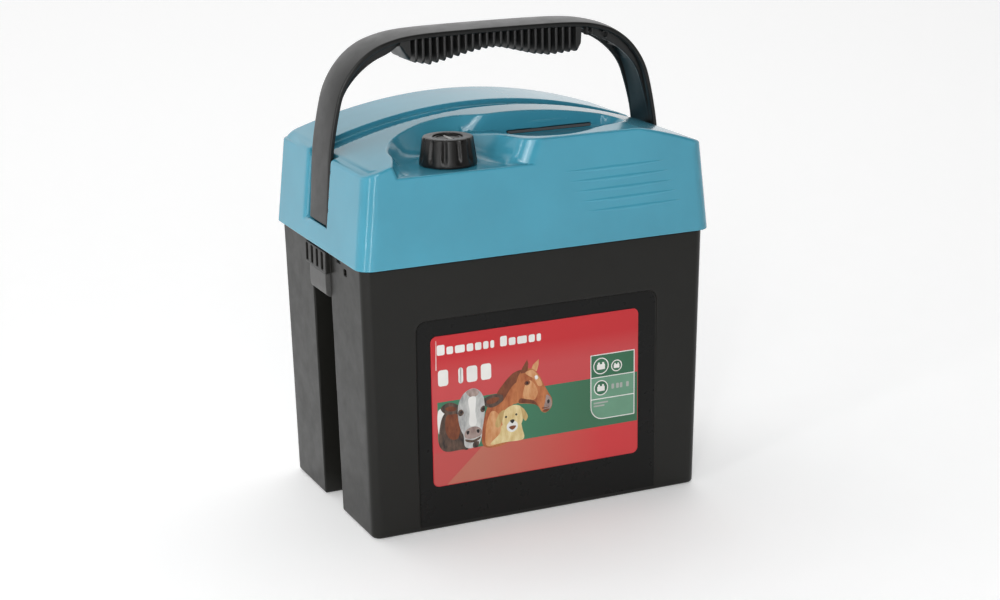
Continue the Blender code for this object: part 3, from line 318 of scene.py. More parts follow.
RECIPES = {   # recipe, colour, worn or second colour, roughness, grain, waviness, spread, specular
    "case_black": (plastic, (0.0098, 0.0096, 0.0082), (0.03, 0.03, 0.029), 0.36, 0.00003, 0.0001,
                   0.05, 0.25),
    "lid_blue": (plastic, (0.056, 0.29, 0.4), (0.095, 0.33, 0.44), 0.15, 0.000006, 0.00003, 0.02, 0.5),
    "handle_black": (plastic, (0.0095, 0.0095, 0.0092), (0.026, 0.026, 0.026), 0.36, 0.00003, 0.0,
                     0.05, 0.38),
    "latch_grey": (plastic, (0.06, 0.06, 0.058), (0.12, 0.12, 0.12), 0.45, 0.00004),
    "knob_black": (plastic, (0.0085, 0.0078, 0.0072), (0.04, 0.038, 0.036), 0.32, 0.00002, 0.0,
                   0.05, 0.34),
    # painted shade: a darker black for the shaded front-panel recess and the knob's recessed top disc
    "panel_black": (plastic, (0.0058, 0.0058, 0.0051), (0.009, 0.009, 0.009), 0.3, 0.00002, 0.0,
                    0.05, 0.15),
    "knob_mark": (plastic, (0.42, 0.42, 0.4), (0.6, 0.6, 0.6), 0.5),
    "label_print": (printed, (0.56, 0.03, 0.04)),
    "battery_wrap": (printed, (0.03, 0.07, 0.24), (0.045, 0.1, 0.3)),
    "battery_top": (plastic, (0.03, 0.03, 0.03), (0.08, 0.08, 0.08), 0.6, 0.00008),
    "grey_plastic": (plastic, (0.26, 0.26, 0.255), (0.4, 0.4, 0.4), 0.5),
    "board_green": (circuit_green,),
    "film_yellow": (printed, (0.55, 0.34, 0.03)),
    "ferrite": (banded, (0.035, 0.035, 0.04), (0.06, 0.06, 0.065), 0.6, 900.0, "Y"),
    "copper": (banded, (0.62, 0.24, 0.09), (0.3, 0.1, 0.04), 0.3, 420.0, "Z", 1.0),
    "brass": (metal, (0.72, 0.53, 0.24), 0.28),
    "steel": (metal, (0.6, 0.6, 0.6), 0.3),
    "aluminium": (metal, (0.78, 0.79, 0.8), 0.34),
    "sleeve_black": (plastic, (0.015, 0.015, 0.018), (0.05, 0.05, 0.05), 0.32),
    "window_dark": (plastic, (0.105, 0.103, 0.1), (0.13, 0.12, 0.12), 0.16, 0.000004),
    "led_red": (plastic, (0.55, 0.02, 0.02), (0.7, 0.1, 0.1), 0.12),
    "rubber_red": (plastic, (0.34, 0.015, 0.015), (0.45, 0.05, 0.05), 0.7, 0.00008),
    "rubber_black": (plastic, (0.014, 0.014, 0.014), (0.05, 0.05, 0.05), 0.75, 0.00008),
    "wire_red": (plastic, (0.42, 0.015, 0.015), (0.5, 0.1, 0.1), 0.45),
    "wire_black": (plastic, (0.015, 0.015, 0.015), (0.05, 0.05, 0.05), 0.45),
    "fuse_glass": (clear_glass,),
}

INKS = {                  # recipes of the label's print
    # red print that turns lighter rose lower down: painted gloss reflection over the ink
    "tint": (printed, (0.545, 0.068, 0.072), (0.53, 0.026, 0.032), "Z", 0.098, 0.113),
    "foot": (printed, (0.5, 0.08, 0.075), (0.6, 0.04, 0.048), "X", -0.02, 0.05),
    "facet": (printed, (0.48, 0.15, 0.105), (0.6, 0.045, 0.05), "X", -0.04, 0.045),
    "green": (printed, (0.05, 0.185, 0.105), (0.048, 0.15, 0.082), "X", -0.01, 0.03),
    "dark_green": (printed, (0.04, 0.15, 0.08)),
    "pale_green": (printed, (0.15, 0.32, 0.215)),
    "white": (printed, (0.8, 0.79, 0.76)),
    "grey": (printed, (0.4, 0.42, 0.39)),
    "black": (printed, (0.022, 0.018, 0.018)),
    "coat": (fur, (0.3, 0.075, 0.028), (0.52, 0.19, 0.07), 90.0),
    "coat_light": (fur, (0.52, 0.21, 0.08), (0.66, 0.37, 0.18), 120.0),
    "coat_dark": (fur, (0.12, 0.035, 0.018), (0.23, 0.07, 0.03), 150.0),
    "hide": (fur, (0.62, 0.62, 0.6), (0.27, 0.275, 0.275), 85.0),
    "hide_dark": (fur, (0.03, 0.025, 0.024), (0.16, 0.095, 0.065), 110.0),
    "muzzle": (fur, (0.23, 0.16, 0.14), (0.42, 0.33, 0.3), 160.0),
    "gold": (fur, (0.76, 0.64, 0.36), (0.6, 0.43, 0.18), 120.0),
    "gold_dark": (fur, (0.56, 0.4, 0.17), (0.42, 0.27, 0.1), 150.0),
}
MAT = {name: make(name, *values) for name, (make, *values) in RECIPES.items()}


# -------- fields
# A field is negative inside the material.  Its rounded joins give the moulded edges.
def round_max(a, b, r):
    """Where both are negative; the edge between them is rounded to radius r."""
    inner = np.minimum(-r, np.maximum(a, b))
    return inner + np.sqrt(np.maximum(a + r, 0.0) ** 2 + np.maximum(b + r, 0.0) ** 2)


def round_min(a, b, r):
    """Where either is negative; the corner between them is filleted to radius r."""
    return -round_max(-a, -b, r)


def smooth_step(value, low, high):
    t = np.clip((value - low) / (high - low), 0.0, 1.0)
    return t * t * (3 - 2 * t)


def rounded_box_2d(x, y, half_x, half_y, r):
    qx = np.abs(x) - half_x + r
    qy = np.abs(y) - half_y + r
    outside = np.hypot(np.maximum(qx, 0.0), np.maximum(qy, 0.0))
    return np.minimum(np.maximum(qx, qy), 0.0) + outside - r


def slab(value, low, high):
    return np.maximum(low - value, value - high)


def block(*spans):
    """Box with sharp edges; each span is (coordinate, low, high)."""
    return reduce(np.maximum, [slab(*span) for span in spans])


def without(body, *cuts):
    """Body less its cuts, with sharp edges."""
    return reduce(np.maximum, [body, *(-cut for cut in cuts)])


def outline_field(x, y, points, values):
    """Signed distance to a closed outline, and the value at its nearest point."""
    x, y = np.broadcast_arrays(x, y)
    best = np.full(x.shape, 1e9)
    lean = np.zeros(x.shape)
    inside = np.zeros(x.shape, bool)
    for i, (ax, ay) in enumerate(points):
        j = (i + 1) % len(points)
        bx, by = points[j]
        dx, dy = bx - ax, by - ay
        t = np.clip(((x - ax) * dx + (y - ay) * dy) / (dx * dx + dy * dy), 0.0, 1.0)
        distance = np.hypot(x - ax - t * dx, y - ay - t * dy)
        nearer = distance < best
        best = np.where(nearer, distance, best)
        lean = np.where(nearer, values[i] + t * (values[j] - values[i]), lean)
        crosses = (ay > y) != (by > y)
        at = ax + (y - ay) * dx / (dy if abs(dy) > 1e-12 else 1e-12)
        inside ^= crosses & (x < at)
    return np.where(inside, -best, best), lean


def catmull_rom(points, per_span):
    """Curve of points of any dimension, from the second one to the one before the last."""
    curve = []
    for a, b, c, d in zip(points, points[1:], points[2:], points[3:]):
        for step in range(per_span):
            t = step / per_span
            curve.append(tuple(
                0.5 * (2 * q + (r - p) * t + (2 * p - 5 * q + 4 * r - s) * t * t
                       + (3 * q - p - 3 * r + s) * t ** 3)
                for p, q, r, s in zip(a, b, c, d)))
    return curve


def spline(points, per_span):
    """Open curve through all points."""
    return catmull_rom([points[0], *points, points[-1]], per_span) + [tuple(points[-1])]


def blob(points):
    """Smooth closed outline through a few points."""
    return catmull_rom([points[-1], *points, points[0], points[1]], 5)


def arch_height(x):
    return ARCH_TOP - x * x / (2 * ARCH_RADIUS)


def leaning_pairs():
    """Pocket outline with the lean of its wall, measured across the outline."""
    rows = []
    for k, (foot, edge, edge_z) in enumerate(POCKET_PAIRS):
        rise = (edge_z or arch_height(edge[0])) - POCKET_FLOOR
        foot = tuple(Vector(edge) + (Vector(foot) - Vector(edge)) * POCKET_STEEP)
        before = Vector(POCKET_PAIRS[max(k - 1, 0)][0])
        after = Vector(POCKET_PAIRS[min(k + 1, len(POCKET_PAIRS) - 1)][0])
        along = (after - before).normalized()
        outward = Vector((-along.y, along.x))
        lean = (Vector(edge) - Vector(foot)).dot(outward) / rise
        rows.append((*foot, max(lean, 0.15)))
    return spline(rows, 8)


def eased(rows, rounds):
    """Rows with their kinks evened out, the two ends kept."""
    rows = np.array(rows)
    for _ in range(rounds):
        rows[1:-1] = (rows[:-2] + 2 * rows[1:-1] + rows[2:]) / 4
    return [tuple(row) for row in rows.tolist()]


POCKET = eased(leaning_pairs(), 14)
BASIN = spline(BASIN_OUTLINE + [BASIN_OUTLINE[0]], 4)[:-1]


def leaning_wall(x, y, z, rows, floor):
    """Wall of a hollow whose outline is given at its floor and leans out above it."""
    distance, lean = outline_field(x, y, [(p[0], p[1]) for p in rows], [p[2] for p in rows])
    return (distance - lean * (z - floor)) / np.sqrt(1 + lean * lean)


def tapered_half(low_half, high_half, share):
    """Half sizes in x and y at a share of the way up a tapered wall."""
    return [low + (high - low) * share for low, high in zip(low_half, high_half)]


def lid_body(x, y, z):
    """The lid's outer form: sides, arched top, knob pocket, ledge and indicator basin."""
    arch = (z - arch_height(x)) / np.sqrt(1 + (x / ARCH_RADIUS) ** 2)
    sides = rounded_box_2d(x, y, *tapered_half(RIM_HALF, SHOULDER_HALF,
                                               (z - RIM_Z) / (SHOULDER_Z - RIM_Z)), LID_CORNER)
    pocket_wall = leaning_wall(x, y, z, POCKET, POCKET_FLOOR)
    back_wall = BASIN_BACK - y - 0.1 * smooth_step(-x, 0.028, 0.045)
    drop = RIDGE_DROP * smooth_step(y, -0.058, -0.022) * smooth_step(-x, -0.004, 0.012)
    ledge = z - LEDGE_Z + drop
    basin = round_max(leaning_wall(x, y, z, BASIN, BASIN_FLOOR), BASIN_FLOOR - z, 0.0015)
    low = round_max(ledge, -basin, 0.0012)
    high_wall = round_max(-pocket_wall, back_wall, 0.007)
    ridge = round_max(low, -pocket_wall, 0.0014)
    roof = round_max(arch, np.minimum(high_wall, ridge), 0.0009)
    top = round_max(arch, np.minimum(back_wall, low), 0.0009)
    right_front = smooth_step(x, -0.05, -0.03)
    corners = round_max(sides, -pocket_wall, 0.0015 + 0.0075 * right_front)
    edge = 0.0014 + 0.0054 * smooth_step(y, 0.03, 0.07)
    body = np.maximum(roof, round_max(sides, top, edge))
    body = np.maximum(body, round_max(corners, top, 0.0012))
    floor = round_max(sides, z - POCKET_FLOOR, 0.0012)
    fillet = 0.006 * smooth_step(-sides, 0.0005, 0.0075)
    fillet = fillet * smooth_step(z, POCKET_FLOOR - 0.004, POCKET_FLOOR - 0.002)
    return round_min(body, floor, fillet)


def lid_outside(x, y, z):
    """Lid without its hollow inside: its body with the trough and the handle's grooves."""
    height = z - arch_height(x)
    wide = round_max(slab(y, TROUGH_FRONT, TROUGH_BACK), -TROUGH_STEP - height, 0.0006)
    deep = round_max(slab(y, TROUGH_FRONT, TROUGH_STEP_BACK), -TROUGH_DEPTH - height, 0.0012)
    body = round_max(lid_body(x, y, z), -np.minimum(wide, deep), 0.0008)
    groove = block((np.abs(x), GROOVE_FLOOR_X, FAR), (z, FOOT_Z, FAR), (y, *GROOVE_Y))
    body = round_max(body, -groove, 0.0006 + 0.0034 * smooth_step(y, 0.012, 0.02))
    slot = block((np.abs(x), GROOVE_FLOOR_X, LEG_SLOT_X), (y, -0.0165, 0.0165),
                 (z, 0.1755, 0.192))
    return without(body, slot)


def lid_field(x, y, z):
    """Lid as a shell, with the recess at its back, its screw bosses and its holes."""
    recess = block((x, -0.03, 0.03), (z, 0.186, 0.206), (y, 0.075, FAR))
    outside = round_max(lid_outside(x, y, z), -recess, 0.0008)
    shell = round_max(outside, -(outside + LID_WALL), 0.0002)
    shell = round_max(shell, RIM_Z - z, 0.0005)
    for sx in (-1, 1):
        for sy in (-1, 1):
            away = np.hypot(x - sx * TRAY_SCREW[0], y - sy * TRAY_SCREW[1])
            boss = block((away, 0.0015, 0.004), (z, 0.1804, FAR))
            shell = np.minimum(shell, np.maximum(boss, outside + 0.001))
    gap = 0.0003          # round the window
    exits = np.hypot(np.abs(x) - LEAD_EXIT[0], z - LEAD_EXIT[1])
    holes = [             # for the switch, the window, the handle's studs and the leads
        block((np.hypot(x - KNOB_X, y - KNOB_Y), -FAR, 0.0049), (z, 0.22, 0.232)),
        block((x, WINDOW_LOW.x - gap, WINDOW_HIGH.x + gap), (y, BASIN_BACK - 0.004, BASIN_BACK + 0.006),
              (z, WINDOW_LOW.z - gap, WINDOW_HIGH.z + gap)),
        block((np.abs(x), 0.105, 0.11), (y, -0.0026, 0.0026), (z, 0.1835, 0.2026)),
        block((exits, -FAR, 0.0046), (y, 0.068, FAR)),
    ]
    return without(shell, *holes)


# -------- meshes from fields
def grid_lines(low, high, coarse, *fine):
    """Coordinates from low to high: coarse steps, and finer ones in (from, to, step) spans."""
    lines = []
    at = low
    while at < high:
        lines.append(at)
        step = coarse
        for start, stop, fine_step in fine:
            if start - coarse < at < stop:
                step = min(step, fine_step if at >= start - fine_step else max(
                    fine_step, start - at))
        at += step
    lines.append(high)
    return np.array(lines)


def add_object(name, data):
    obj = bpy.data.objects.new(name, data)
    bpy.context.scene.collection.objects.link(obj)
    return obj


def part(spans):
    """Index of a block of a 3-D grid: {axis: (start, stop)}, all of the other axes."""
    return tuple(slice(*spans.get(axis, (None,))) for axis in range(3))


def across(axis):
    return [k for k in range(3) if k != axis]


def cell_points(value, grids):
    """Mean crossing of each cell's edges, the cells' numbers, and the crossings by axis."""
    cells = tuple(n - 1 for n in value.shape)
    total = np.zeros(cells + (3,))
    count = np.zeros(cells, np.int32)
    crossings = []
    for axis in range(3):
        starts, (u, v) = part({axis: (0, -1)}), across(axis)
        a, b = value[starts], value[part({axis: (1, None)})]
        crosses = (a < 0) != (b < 0)
        crossings.append((crosses, a < 0))
        share = np.where(crosses, a / np.where(crosses, a - b, 1.0), 0.0)
        at = [np.broadcast_to(grid, value.shape)[starts] for grid in grids]
        at[axis] = at[axis] + share * np.diff(grids[axis], axis=axis)
        for du in (0, 1):
            for dv in (0, 1):
                near = part({u: (du, du + cells[u]), v: (dv, dv + cells[v])})
                hit = crosses[near]
                count += hit
                for k in range(3):
                    total[..., k] += np.where(hit, at[k][near], 0.0)
    used = count > 0
    index = np.full(cells, -1, np.int64)
    index[used] = np.arange(int(used.sum()))
    return total[used] / count[used][:, None], index, crossings


def net_quads(index, crossings):
    """Quads round the crossed edges of the grid, each between the four cells beside it."""
    quads = []
    for axis, (crosses, starts_inside) in enumerate(crossings):
        u, v = across(axis)
        inner = part({u: (1, -1), v: (1, -1)})
        found = np.argwhere(crosses[inner])
        inside = starts_inside[inner][tuple(found.T)]
        found = found + 1
        found[:, axis] -= 1
        corner = []
        for du, dv in ((1, 1), (0, 1), (0, 0), (1, 0)):
            cell = found.copy()
            cell[:, u] -= du
            cell[:, v] -= dv
            corner.append(index[tuple(cell.T)])
        quad = np.stack(corner, 1)
        turned = ~inside if axis != 1 else inside
        quad[turned] = quad[turned][:, ::-1]
        quads.append(quad)
    return np.concatenate(quads)


def field_mesh(name, field, *lines):
    """Surface nets over an uneven grid, each point then moved onto the field's surface."""
    grids = np.meshgrid(*lines, indexing="ij", sparse=True)
    value = field(*grids) * np.ones([len(line) for line in lines])
    points, index, crossings = cell_points(value, grids)
    points, normals = settle(points, field)
    mesh = bpy.data.meshes.new(name)
    mesh.from_pydata(points.tolist(), [], net_quads(index, crossings).tolist())
    mesh.shade_smooth()
    mesh.normals_split_custom_set_from_vertices(normals.tolist())
    mesh.update()
    return add_object(name, mesh)


def gradient(points, field, step=4e-5):
    parts = []
    for axis in range(3):
        shift = np.zeros(3)
        shift[axis] = step
        ahead, behind = points + shift, points - shift
        parts.append((field(*ahead.T) - field(*behind.T)) / (2 * step))
    return np.stack(parts, 1)


def settle(points, field, rounds=2, reach=0.0006):
    """Newton steps onto the surface, and the unit normals there."""
    start = points.copy()
    for _ in range(rounds):
        slope = gradient(points, field)
        square = np.maximum((slope ** 2).sum(1), 0.25)
        points = points - field(*points.T)[:, None] * slope / square[:, None]
        moved = points - start
        length = np.linalg.norm(moved, axis=1)
        points = start + moved * np.minimum(1.0, reach / np.maximum(length, 1e-9))[:, None]
    slope = gradient(points, field)
    length = np.maximum(np.linalg.norm(slope, axis=1), 1e-9)
    return points, slope / length[:, None]


def finish_piece(obj, body, slot, *nodes, mat=None):
    """Material of a piece, by its record slot unless one is given, its body, and the CAD nodes that it
    stands for, which are hidden.
    """
    obj.data.materials.clear()
    obj.data.materials.append(mat or MAT[slot])
    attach(obj, body)
    if nodes:
        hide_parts(*nodes)


def make_lid():
    fine = 0.0011
    corner = 0.0008
    xs = grid_lines(-0.1225, 0.1225, 0.003, (-0.1205, -0.105, corner), (-0.106, 0.082, fine),
                    (0.105, 0.1205, corner))
    ys = grid_lines(-0.0815, 0.0815, 0.003, (-0.08, -0.069, corner), (-0.07, 0.025, fine),
                    (0.069, 0.08, corner))
    zs = grid_lines(0.1715, 0.2535, 0.003, (0.1725, 0.177, 0.0007), (0.185, 0.19, fine),
                    (0.204, 0.208, fine), (0.223, 0.2525, fine * 0.85))
    lid = field_mesh("lid_moulding", lid_field, xs, ys, zs)
    finish_piece(lid, "lid", "lid_blue", "lid_shell")


def rib_ring(x, middle, taper):
    """Section of a front rib at one x: nine points proud of the lid's face, two behind it."""
    ring = []
    for j in range(9):
        away = -1 + j / 4
        z = middle + FRONT_RIB_HALF * taper * away
        face = tapered_half(RIM_HALF, SHOULDER_HALF, (z - RIM_Z) / (SHOULDER_Z - RIM_Z))[1]
        proud = FRONT_RIB_PROUD * taper * cos(pi / 2 * away) ** 2
        ring.append((x, 0.00002 - face - proud, z))
    return ring + [(x, y + 0.0006, z) for x, y, z in (ring[-1], ring[0])]


def make_front_ribs():
    """Faint curved ribs on the right of the lid's front."""
    ribs = []
    for k in range(FRONT_RIBS):
        start, end = 0.015 + 0.0038 * k, 0.086 + 0.003 * k
        rings = []
        for step in range(25):
            t = step / 24
            taper = sin(pi * min(1.0, max(0.02, t))) ** 0.5
            middle = 0.2205 - 0.0066 * k + 0.0007 * (2 * t - 1) ** 2 + 0.0006 * t
            rings.append(rib_ring(start + (end - start) * t, middle, taper))
        ribs.append(skin("front_rib", rings))
    finish_piece(join_meshes("front_ribs", ribs), "lid", "lid_blue")


# -------- case
def case_body(x, y, z):
    """Tapered case with its side channels: outer surface without and with the label's panel."""
    half_x, half_y = tapered_half(CASE_BASE_HALF, CASE_TOP_HALF, z / CASE_TOP)
    sides = rounded_box_2d(x, y, half_x, half_y, CASE_CORNER)
    channel = round_max(slab(y, -CHANNEL_HALF, CHANNEL_HALF),
                        half_x - CHANNEL_DEPTH - np.abs(x), 0.001)
    wall = round_max(round_max(sides, -channel, 0.0008), -z, 0.0022)
    panel = rounded_box_2d(x, z - PANEL_TOP / 2 + 0.02, PANEL_HALF, PANEL_TOP / 2 + 0.02, 0.007)
    return wall, round_max(wall, -round_max(panel, y - PANEL_Y, 0.0004), 0.0007)


def comb_field(x, y, z):
    """Block over each latch with its row of upright slots."""
    comb = round_max(slab(y, -COMB_HALF, COMB_HALF),
                     block((np.abs(x), 0.114, 0.12), (z, COMB_BOTTOM, CASE_TOP)), 0.0005)
    phase = np.mod(y + 0.012 + COMB_PITCH / 2, COMB_PITCH) - COMB_PITCH / 2
    slots = block((phase, -0.002, 0.002), (np.abs(x), 0.1168, FAR), (z, 0.1603, 0.1714),
                  (y, -0.016, COMB_HALF - 0.0007))
    return without(comb, slots)


def case_field(x, y, z):
    """Case as a shell, with its lip, its combs and its holes."""
    wall, outside = case_body(x, y, z)
    shell = round_max(outside, -(wall + CASE_WALL), 0.0002)
    shell = round_max(shell, z - CASE_TOP, 0.0004)
    lip = block((wall, -CASE_WALL, -0.0012), (z, 0.17, CASE_TOP + 0.005))
    near_channel = block((y, -0.0245, 0.0245), (np.abs(x), 0.085, FAR))
    shell = np.minimum(shell, without(lip, near_channel))
    shell = round_min(shell, comb_field(x, y, z), 0.0003)
    holes = [             # trunnion seats, then the hole and the notch beside each latch
        block((np.hypot(np.abs(x) - BEARING[0], z - BEARING[1]), -FAR, 0.0016),
              (y, -0.021, 0.021)),
        block((y, -0.0466, -0.042), (z, 0.1637, 0.1676), (np.abs(x), 0.11, FAR)),
        block((y, -0.0366, -0.03), (z, 0.169, 0.1711), (np.abs(x), 0.1155, FAR)),
    ]
    return without(shell, *holes)


def make_case():
    fine = 0.0008
    xs = grid_lines(-0.1215, 0.1215, 0.005, (-0.1212, -0.1095, fine), (-0.1035, -0.096, fine),
                    (-0.085, -0.0745, fine), (0.0745, 0.085, fine), (0.096, 0.1035, fine),
                    (0.1095, 0.1212, fine))
    ys = grid_lines(-0.076, 0.076, 0.0045, (-0.0755, -0.068, fine), (0.068, 0.0755, fine),
                    (-0.026, 0.026, fine), (-0.0475, -0.029, fine))
    zs = grid_lines(-0.0015, 0.179, 0.0055, (-0.001, 0.0062, fine), (0.129, 0.1385, fine),
                    (0.1575, 0.1785, fine))
    case = field_mesh("case_moulding", case_field, xs, ys, zs)
    finish_piece(case, "case", "case_black", "battery_case")
    half = PANEL_HALF - 0.0008
    outline = rounded_outline(-half, 0.003, half, PANEL_TOP - 0.0008, (0, 0, 0.0062, 0.0062))
    # the panel's plate takes a darker black: painted shade in the front recess
    panel = plate("front_panel", outline, PANEL_Y - 0.00028, PANEL_Y + 0.0002)
    finish_piece(panel, "case", "case_black", mat=MAT["panel_black"])


# -------- swept and turned pieces
def mesh_object(name, bm, sharp_angle=38):
    """Object from a bmesh: smooth but for its sharp edges, or flat without an angle."""
    mesh = bpy.data.meshes.new(name)
    bm.to_mesh(mesh)
    bm.free()
    if sharp_angle:
        mesh.shade_smooth()
        mesh.set_sharp_from_angle(angle=radians(sharp_angle))
    return add_object(name, mesh)


def skin(name, rings, sharp_angle=38):
    """Quads through matching closed rings of points, and a face over each end."""
    bm = bmesh.new()
    loops = [[bm.verts.new(p) for p in ring] for ring in rings]
    for low, high in zip(loops, loops[1:]):
        for i in range(len(low)):
            j = (i + 1) % len(low)
            bm.faces.new((low[i], low[j], high[j], high[i]))
    bm.faces.new(list(reversed(loops[0])))
    bm.faces.new(loops[-1])
    bmesh.ops.recalc_face_normals(bm, faces=bm.faces)
    return mesh_object(name, bm, sharp_angle)


def join_meshes(name, pieces):
    """One object from several; the pieces keep their places."""
    bm = bmesh.new()
    for piece in pieces:
        bm.from_mesh(piece.data)
        bpy.data.objects.remove(piece)
    return mesh_object(name, bm)


def plate(name, outline, y_low, y_high):
    """Flat plate standing along X, its outline given as (x, z)."""
    return skin(name, [[(x, y, z) for x, z in outline] for y in (y_low, y_high)])


def arc(u, v, r, start, sweep, steps):
    """Points of an arc about (u, v), its angles in degrees, both ends included."""
    angles = [radians(start + sweep * k / steps) for k in range(steps + 1)]
    return [(u + r * cos(angle), v + r * sin(angle)) for angle in angles]


def rounded_outline(u0, v0, u1, v1, radii=0, steps=6):
    """Rectangle with one radius or its own at each corner, from lower left anticlockwise."""
    points = []
    corners = ((u0, v0, 1, 1), (u1, v0, -1, 1), (u1, v1, -1, -1), (u0, v1, 1, -1))
    for k, (u, v, su, sv) in enumerate(corners):
        r = radii[k] if isinstance(radii, tuple) else radii
        points += arc(u + su * r, v + sv * r, r, 180 + 90 * k, 90, steps) if r else [(u, v)]
    return points


def bevel(obj, width, segments):
    modifier = obj.modifiers.new("edges", "BEVEL")
    modifier.width = width
    modifier.segments = segments
    modifier.limit_method = "ANGLE"
    modifier.angle_limit = radians(35)
    modifier.harden_normals = True
    return obj


def half_band():
    """Dense path of the band from the right foot to its middle: (x, z, flange depth)."""
    return np.array(eased(spline([(*p, d) for p, d in zip(BAND_OUTSIDE, BAND_DEPTH)], 8), 14))


def band_profile(depth, crown, inset):
    """The band's section as (y, height against the front edge's path), back edge first."""
    half = BAND_HALF - inset
    under = inset - BAND_THICK
    deep = max(depth - BAND_THICK, 0.00012)
    edge_r = 0.0011
    side = half - edge_r
    top = [(side * k / 6, crown * (1 - (side * k / 6 / half) ** 2) - inset) for k in range(7)]
    lift = crown * (1 - (side / half) ** 2) - edge_r - inset
    top += arc(side, lift, edge_r, 90, -90, 4)[1:]

    def edge(*rows):
        """Points given as (distance in from a start, drop, share of the depth)."""
        return [(start - y, under - n - deep * share) for start, y, n, share in rows]

    back = edge((half, 0, -0.0006, 1), (half, 0.0006, 0, 1), (half, 0.002, 0, 1),
                (half, 0.0026, 0, 0.7), (half, 0.0026, 0, 0.1), (half, 0.0029, 0, 0))
    inner = half - FLANGE_SETBACK
    front = edge((half, 0, -0.0006, 0), (half, 0.0006, 0, 0), (inner, 0, 0, 0),
                 (inner, 0.0001, 0, 0.8), (inner, 0.0005, 0, 1), (inner, 0.0021, 0, 1),
                 (inner, 0.0026, 0, 0.8), (inner, 0.0027, 0, 0))
    mirrored = [(-y, n) for y, n in reversed(top[1:] + front)]
    return top + back + [(0.0, under)] + mirrored


def make_band():
    half = half_band()
    left = half[::-1][1:].copy()
    left[:, 0] *= -1
    path = np.concatenate([half, left])
    count = len(path)
    rings = []
    for k, (x, z, depth) in enumerate(path):
        ahead = path[min(k + 1, count - 1)][:2]
        behind = path[max(k - 1, 0)][:2]
        along = Vector(ahead - behind).normalized()
        normal = Vector((along.y, -along.x))
        crown = BAND_CROWN * min(1.0, max(0.15, (z - 0.235) / 0.035))
        steps = {0: ((0.0, 0.0006), (0.0006, 0.0)), count - 1: ((-0.0006, 0.0), (0.0, 0.0006))}
        for shift, inset in steps.get(k, ((0.0, 0.0),)):
            rings.append([(x + along.x * shift + normal.x * n, y,
                           z + along.y * shift + normal.y * n)
                          for y, n in band_profile(depth, crown, inset)])
    return skin("band", rings)


def band_height(x):
    """Height of the band's front edge over x."""
    path = sorted((p[0], p[1]) for p in BAND_OUTSIDE)
    return float(np.interp(abs(x), [p[0] for p in path[:-5]], [p[1] for p in path[:-5]]))


def underside_at(x):
    return float(np.interp(x, *zip(*GRIP_UNDERSIDE)))


def grip_ring(x, low, y_half, top):
    """Section of the grip at one x: flat on top, rounded below."""
    r = min(0.003, max(0.0006, (top - low) * 0.4))
    ring = [(y_half, top), (-y_half, top)]
    for side, start in ((-1, 180), (1, 270)):
        ring += arc(side * (y_half - r), low + r, r, start, 90, 5)
    return [(x, y, z) for y, z in ring]


def fin(x_low, x_high, y_half):
    """One comb tooth: a plate across the band with eased edges."""
    middle = (x_low + x_high) / 2
    edge = (x_high - x_low) * 0.3
    rows = ((x_low, 0.0004), (x_low + edge, 0.0), (x_high - edge, 0.0), (x_high, 0.0004))
    return skin("fin", [grip_ring(x, underside_at(middle) + inset, y_half - inset,
                                  band_height(x) - GRIP_DROP) for x, inset in rows])


def grip_wall(x_low, x_high, y_half):
    """Solid end of the grip, following its underside."""
    return skin("grip_wall", [grip_ring(x, underside_at(x), y_half, band_height(x) - GRIP_DROP)
                              for x in np.linspace(x_low, x_high, 11)])


def hanging_plate(name, x, half_top, half_foot, drop, length, y_low, y_high):
    """Plate across X that hangs below the band's path, perhaps narrower at its foot."""
    top = band_height(x) - drop
    foot = top - length
    return plate(name, [(x - half_top, top), (x + half_top, top), (x + half_foot, foot),
                        (x - half_foot, foot)], y_low, y_high)


def corner_ribs():
    """Stiffening ribs and a small moulded hook in the front recess beside the grip."""
    front = 0.0006 - BAND_HALF
    behind = front + FLANGE_SETBACK
    pieces = [hanging_plate("corner_rib", x, 0.0005, 0.0004, 0.0018, length, front, behind)
              for x, length in ((0.0632, 0.006), (0.0668, 0.005))]
    outer, inner = [arc(HOOK_X, band_height(HOOK_X) - 0.0052, r, -70, 210, 12)
                    for r in (0.0027, 0.0018)]
    for k in range(12):
        quad = [outer[k], outer[k + 1], inner[k + 1], inner[k]]
        pieces.append(plate("corner_hook", quad, front + 0.0006, behind))
    return pieces


def grip_pieces():
    """Solid ends, comb and spine of the grip."""
    y_half = BAND_HALF - 0.0004
    start, end = GRIP_UNDERSIDE[0][0], GRIP_UNDERSIDE[-1][0]
    comb = [GRIP_FIRST_GAP + FIN_GAP / 2 + GRIP_PITCH * k for k in range(GRIP_FINS)]
    pieces = [fin(low, low + GRIP_PITCH - FIN_GAP, y_half) for low in comb[:-1]]
    pieces += [grip_wall(start, comb[0] - FIN_GAP, y_half), grip_wall(comb[-1], end, y_half)]
    spine = []
    for x in np.linspace(-0.06, 0.058, 40):
        top, low = band_height(x) - GRIP_DROP, underside_at(x) + 0.003
        spine.append([(x, 0.003, top), (x, -0.003, top), (x, -0.003, low), (x, 0.003, low)])
    return [*pieces, skin("spine", spine)]


def make_handle():
    gussets = [hanging_plate("gusset", side * x, 0.0006, 0.0006, 0.002, 0.005,
                             FLANGE_SETBACK + 0.002 - BAND_HALF, BAND_HALF - 0.002)
               for side in (-1, 1) for x in (0.078, 0.085, 0.092)]
    handle = join_meshes("carrying_handle", [make_band(), *grip_pieces(), *corner_ribs(), *gussets])
    finish_piece(handle, "handle", "handle_black", "handle")


def knob_ring(radius, z, flute_depth, segments):
    """Circle about the knob's axis, cut by its flutes to a given depth."""
    ring = []
    for k in range(segments):
        angle = 2 * pi * k / segments
        r = radius - flute_depth * max(0.0, cos(KNOB_FLUTES * angle)) ** 1.5
        ring.append((KNOB_X + r * cos(angle), KNOB_Y + r * sin(angle), z))
    return ring


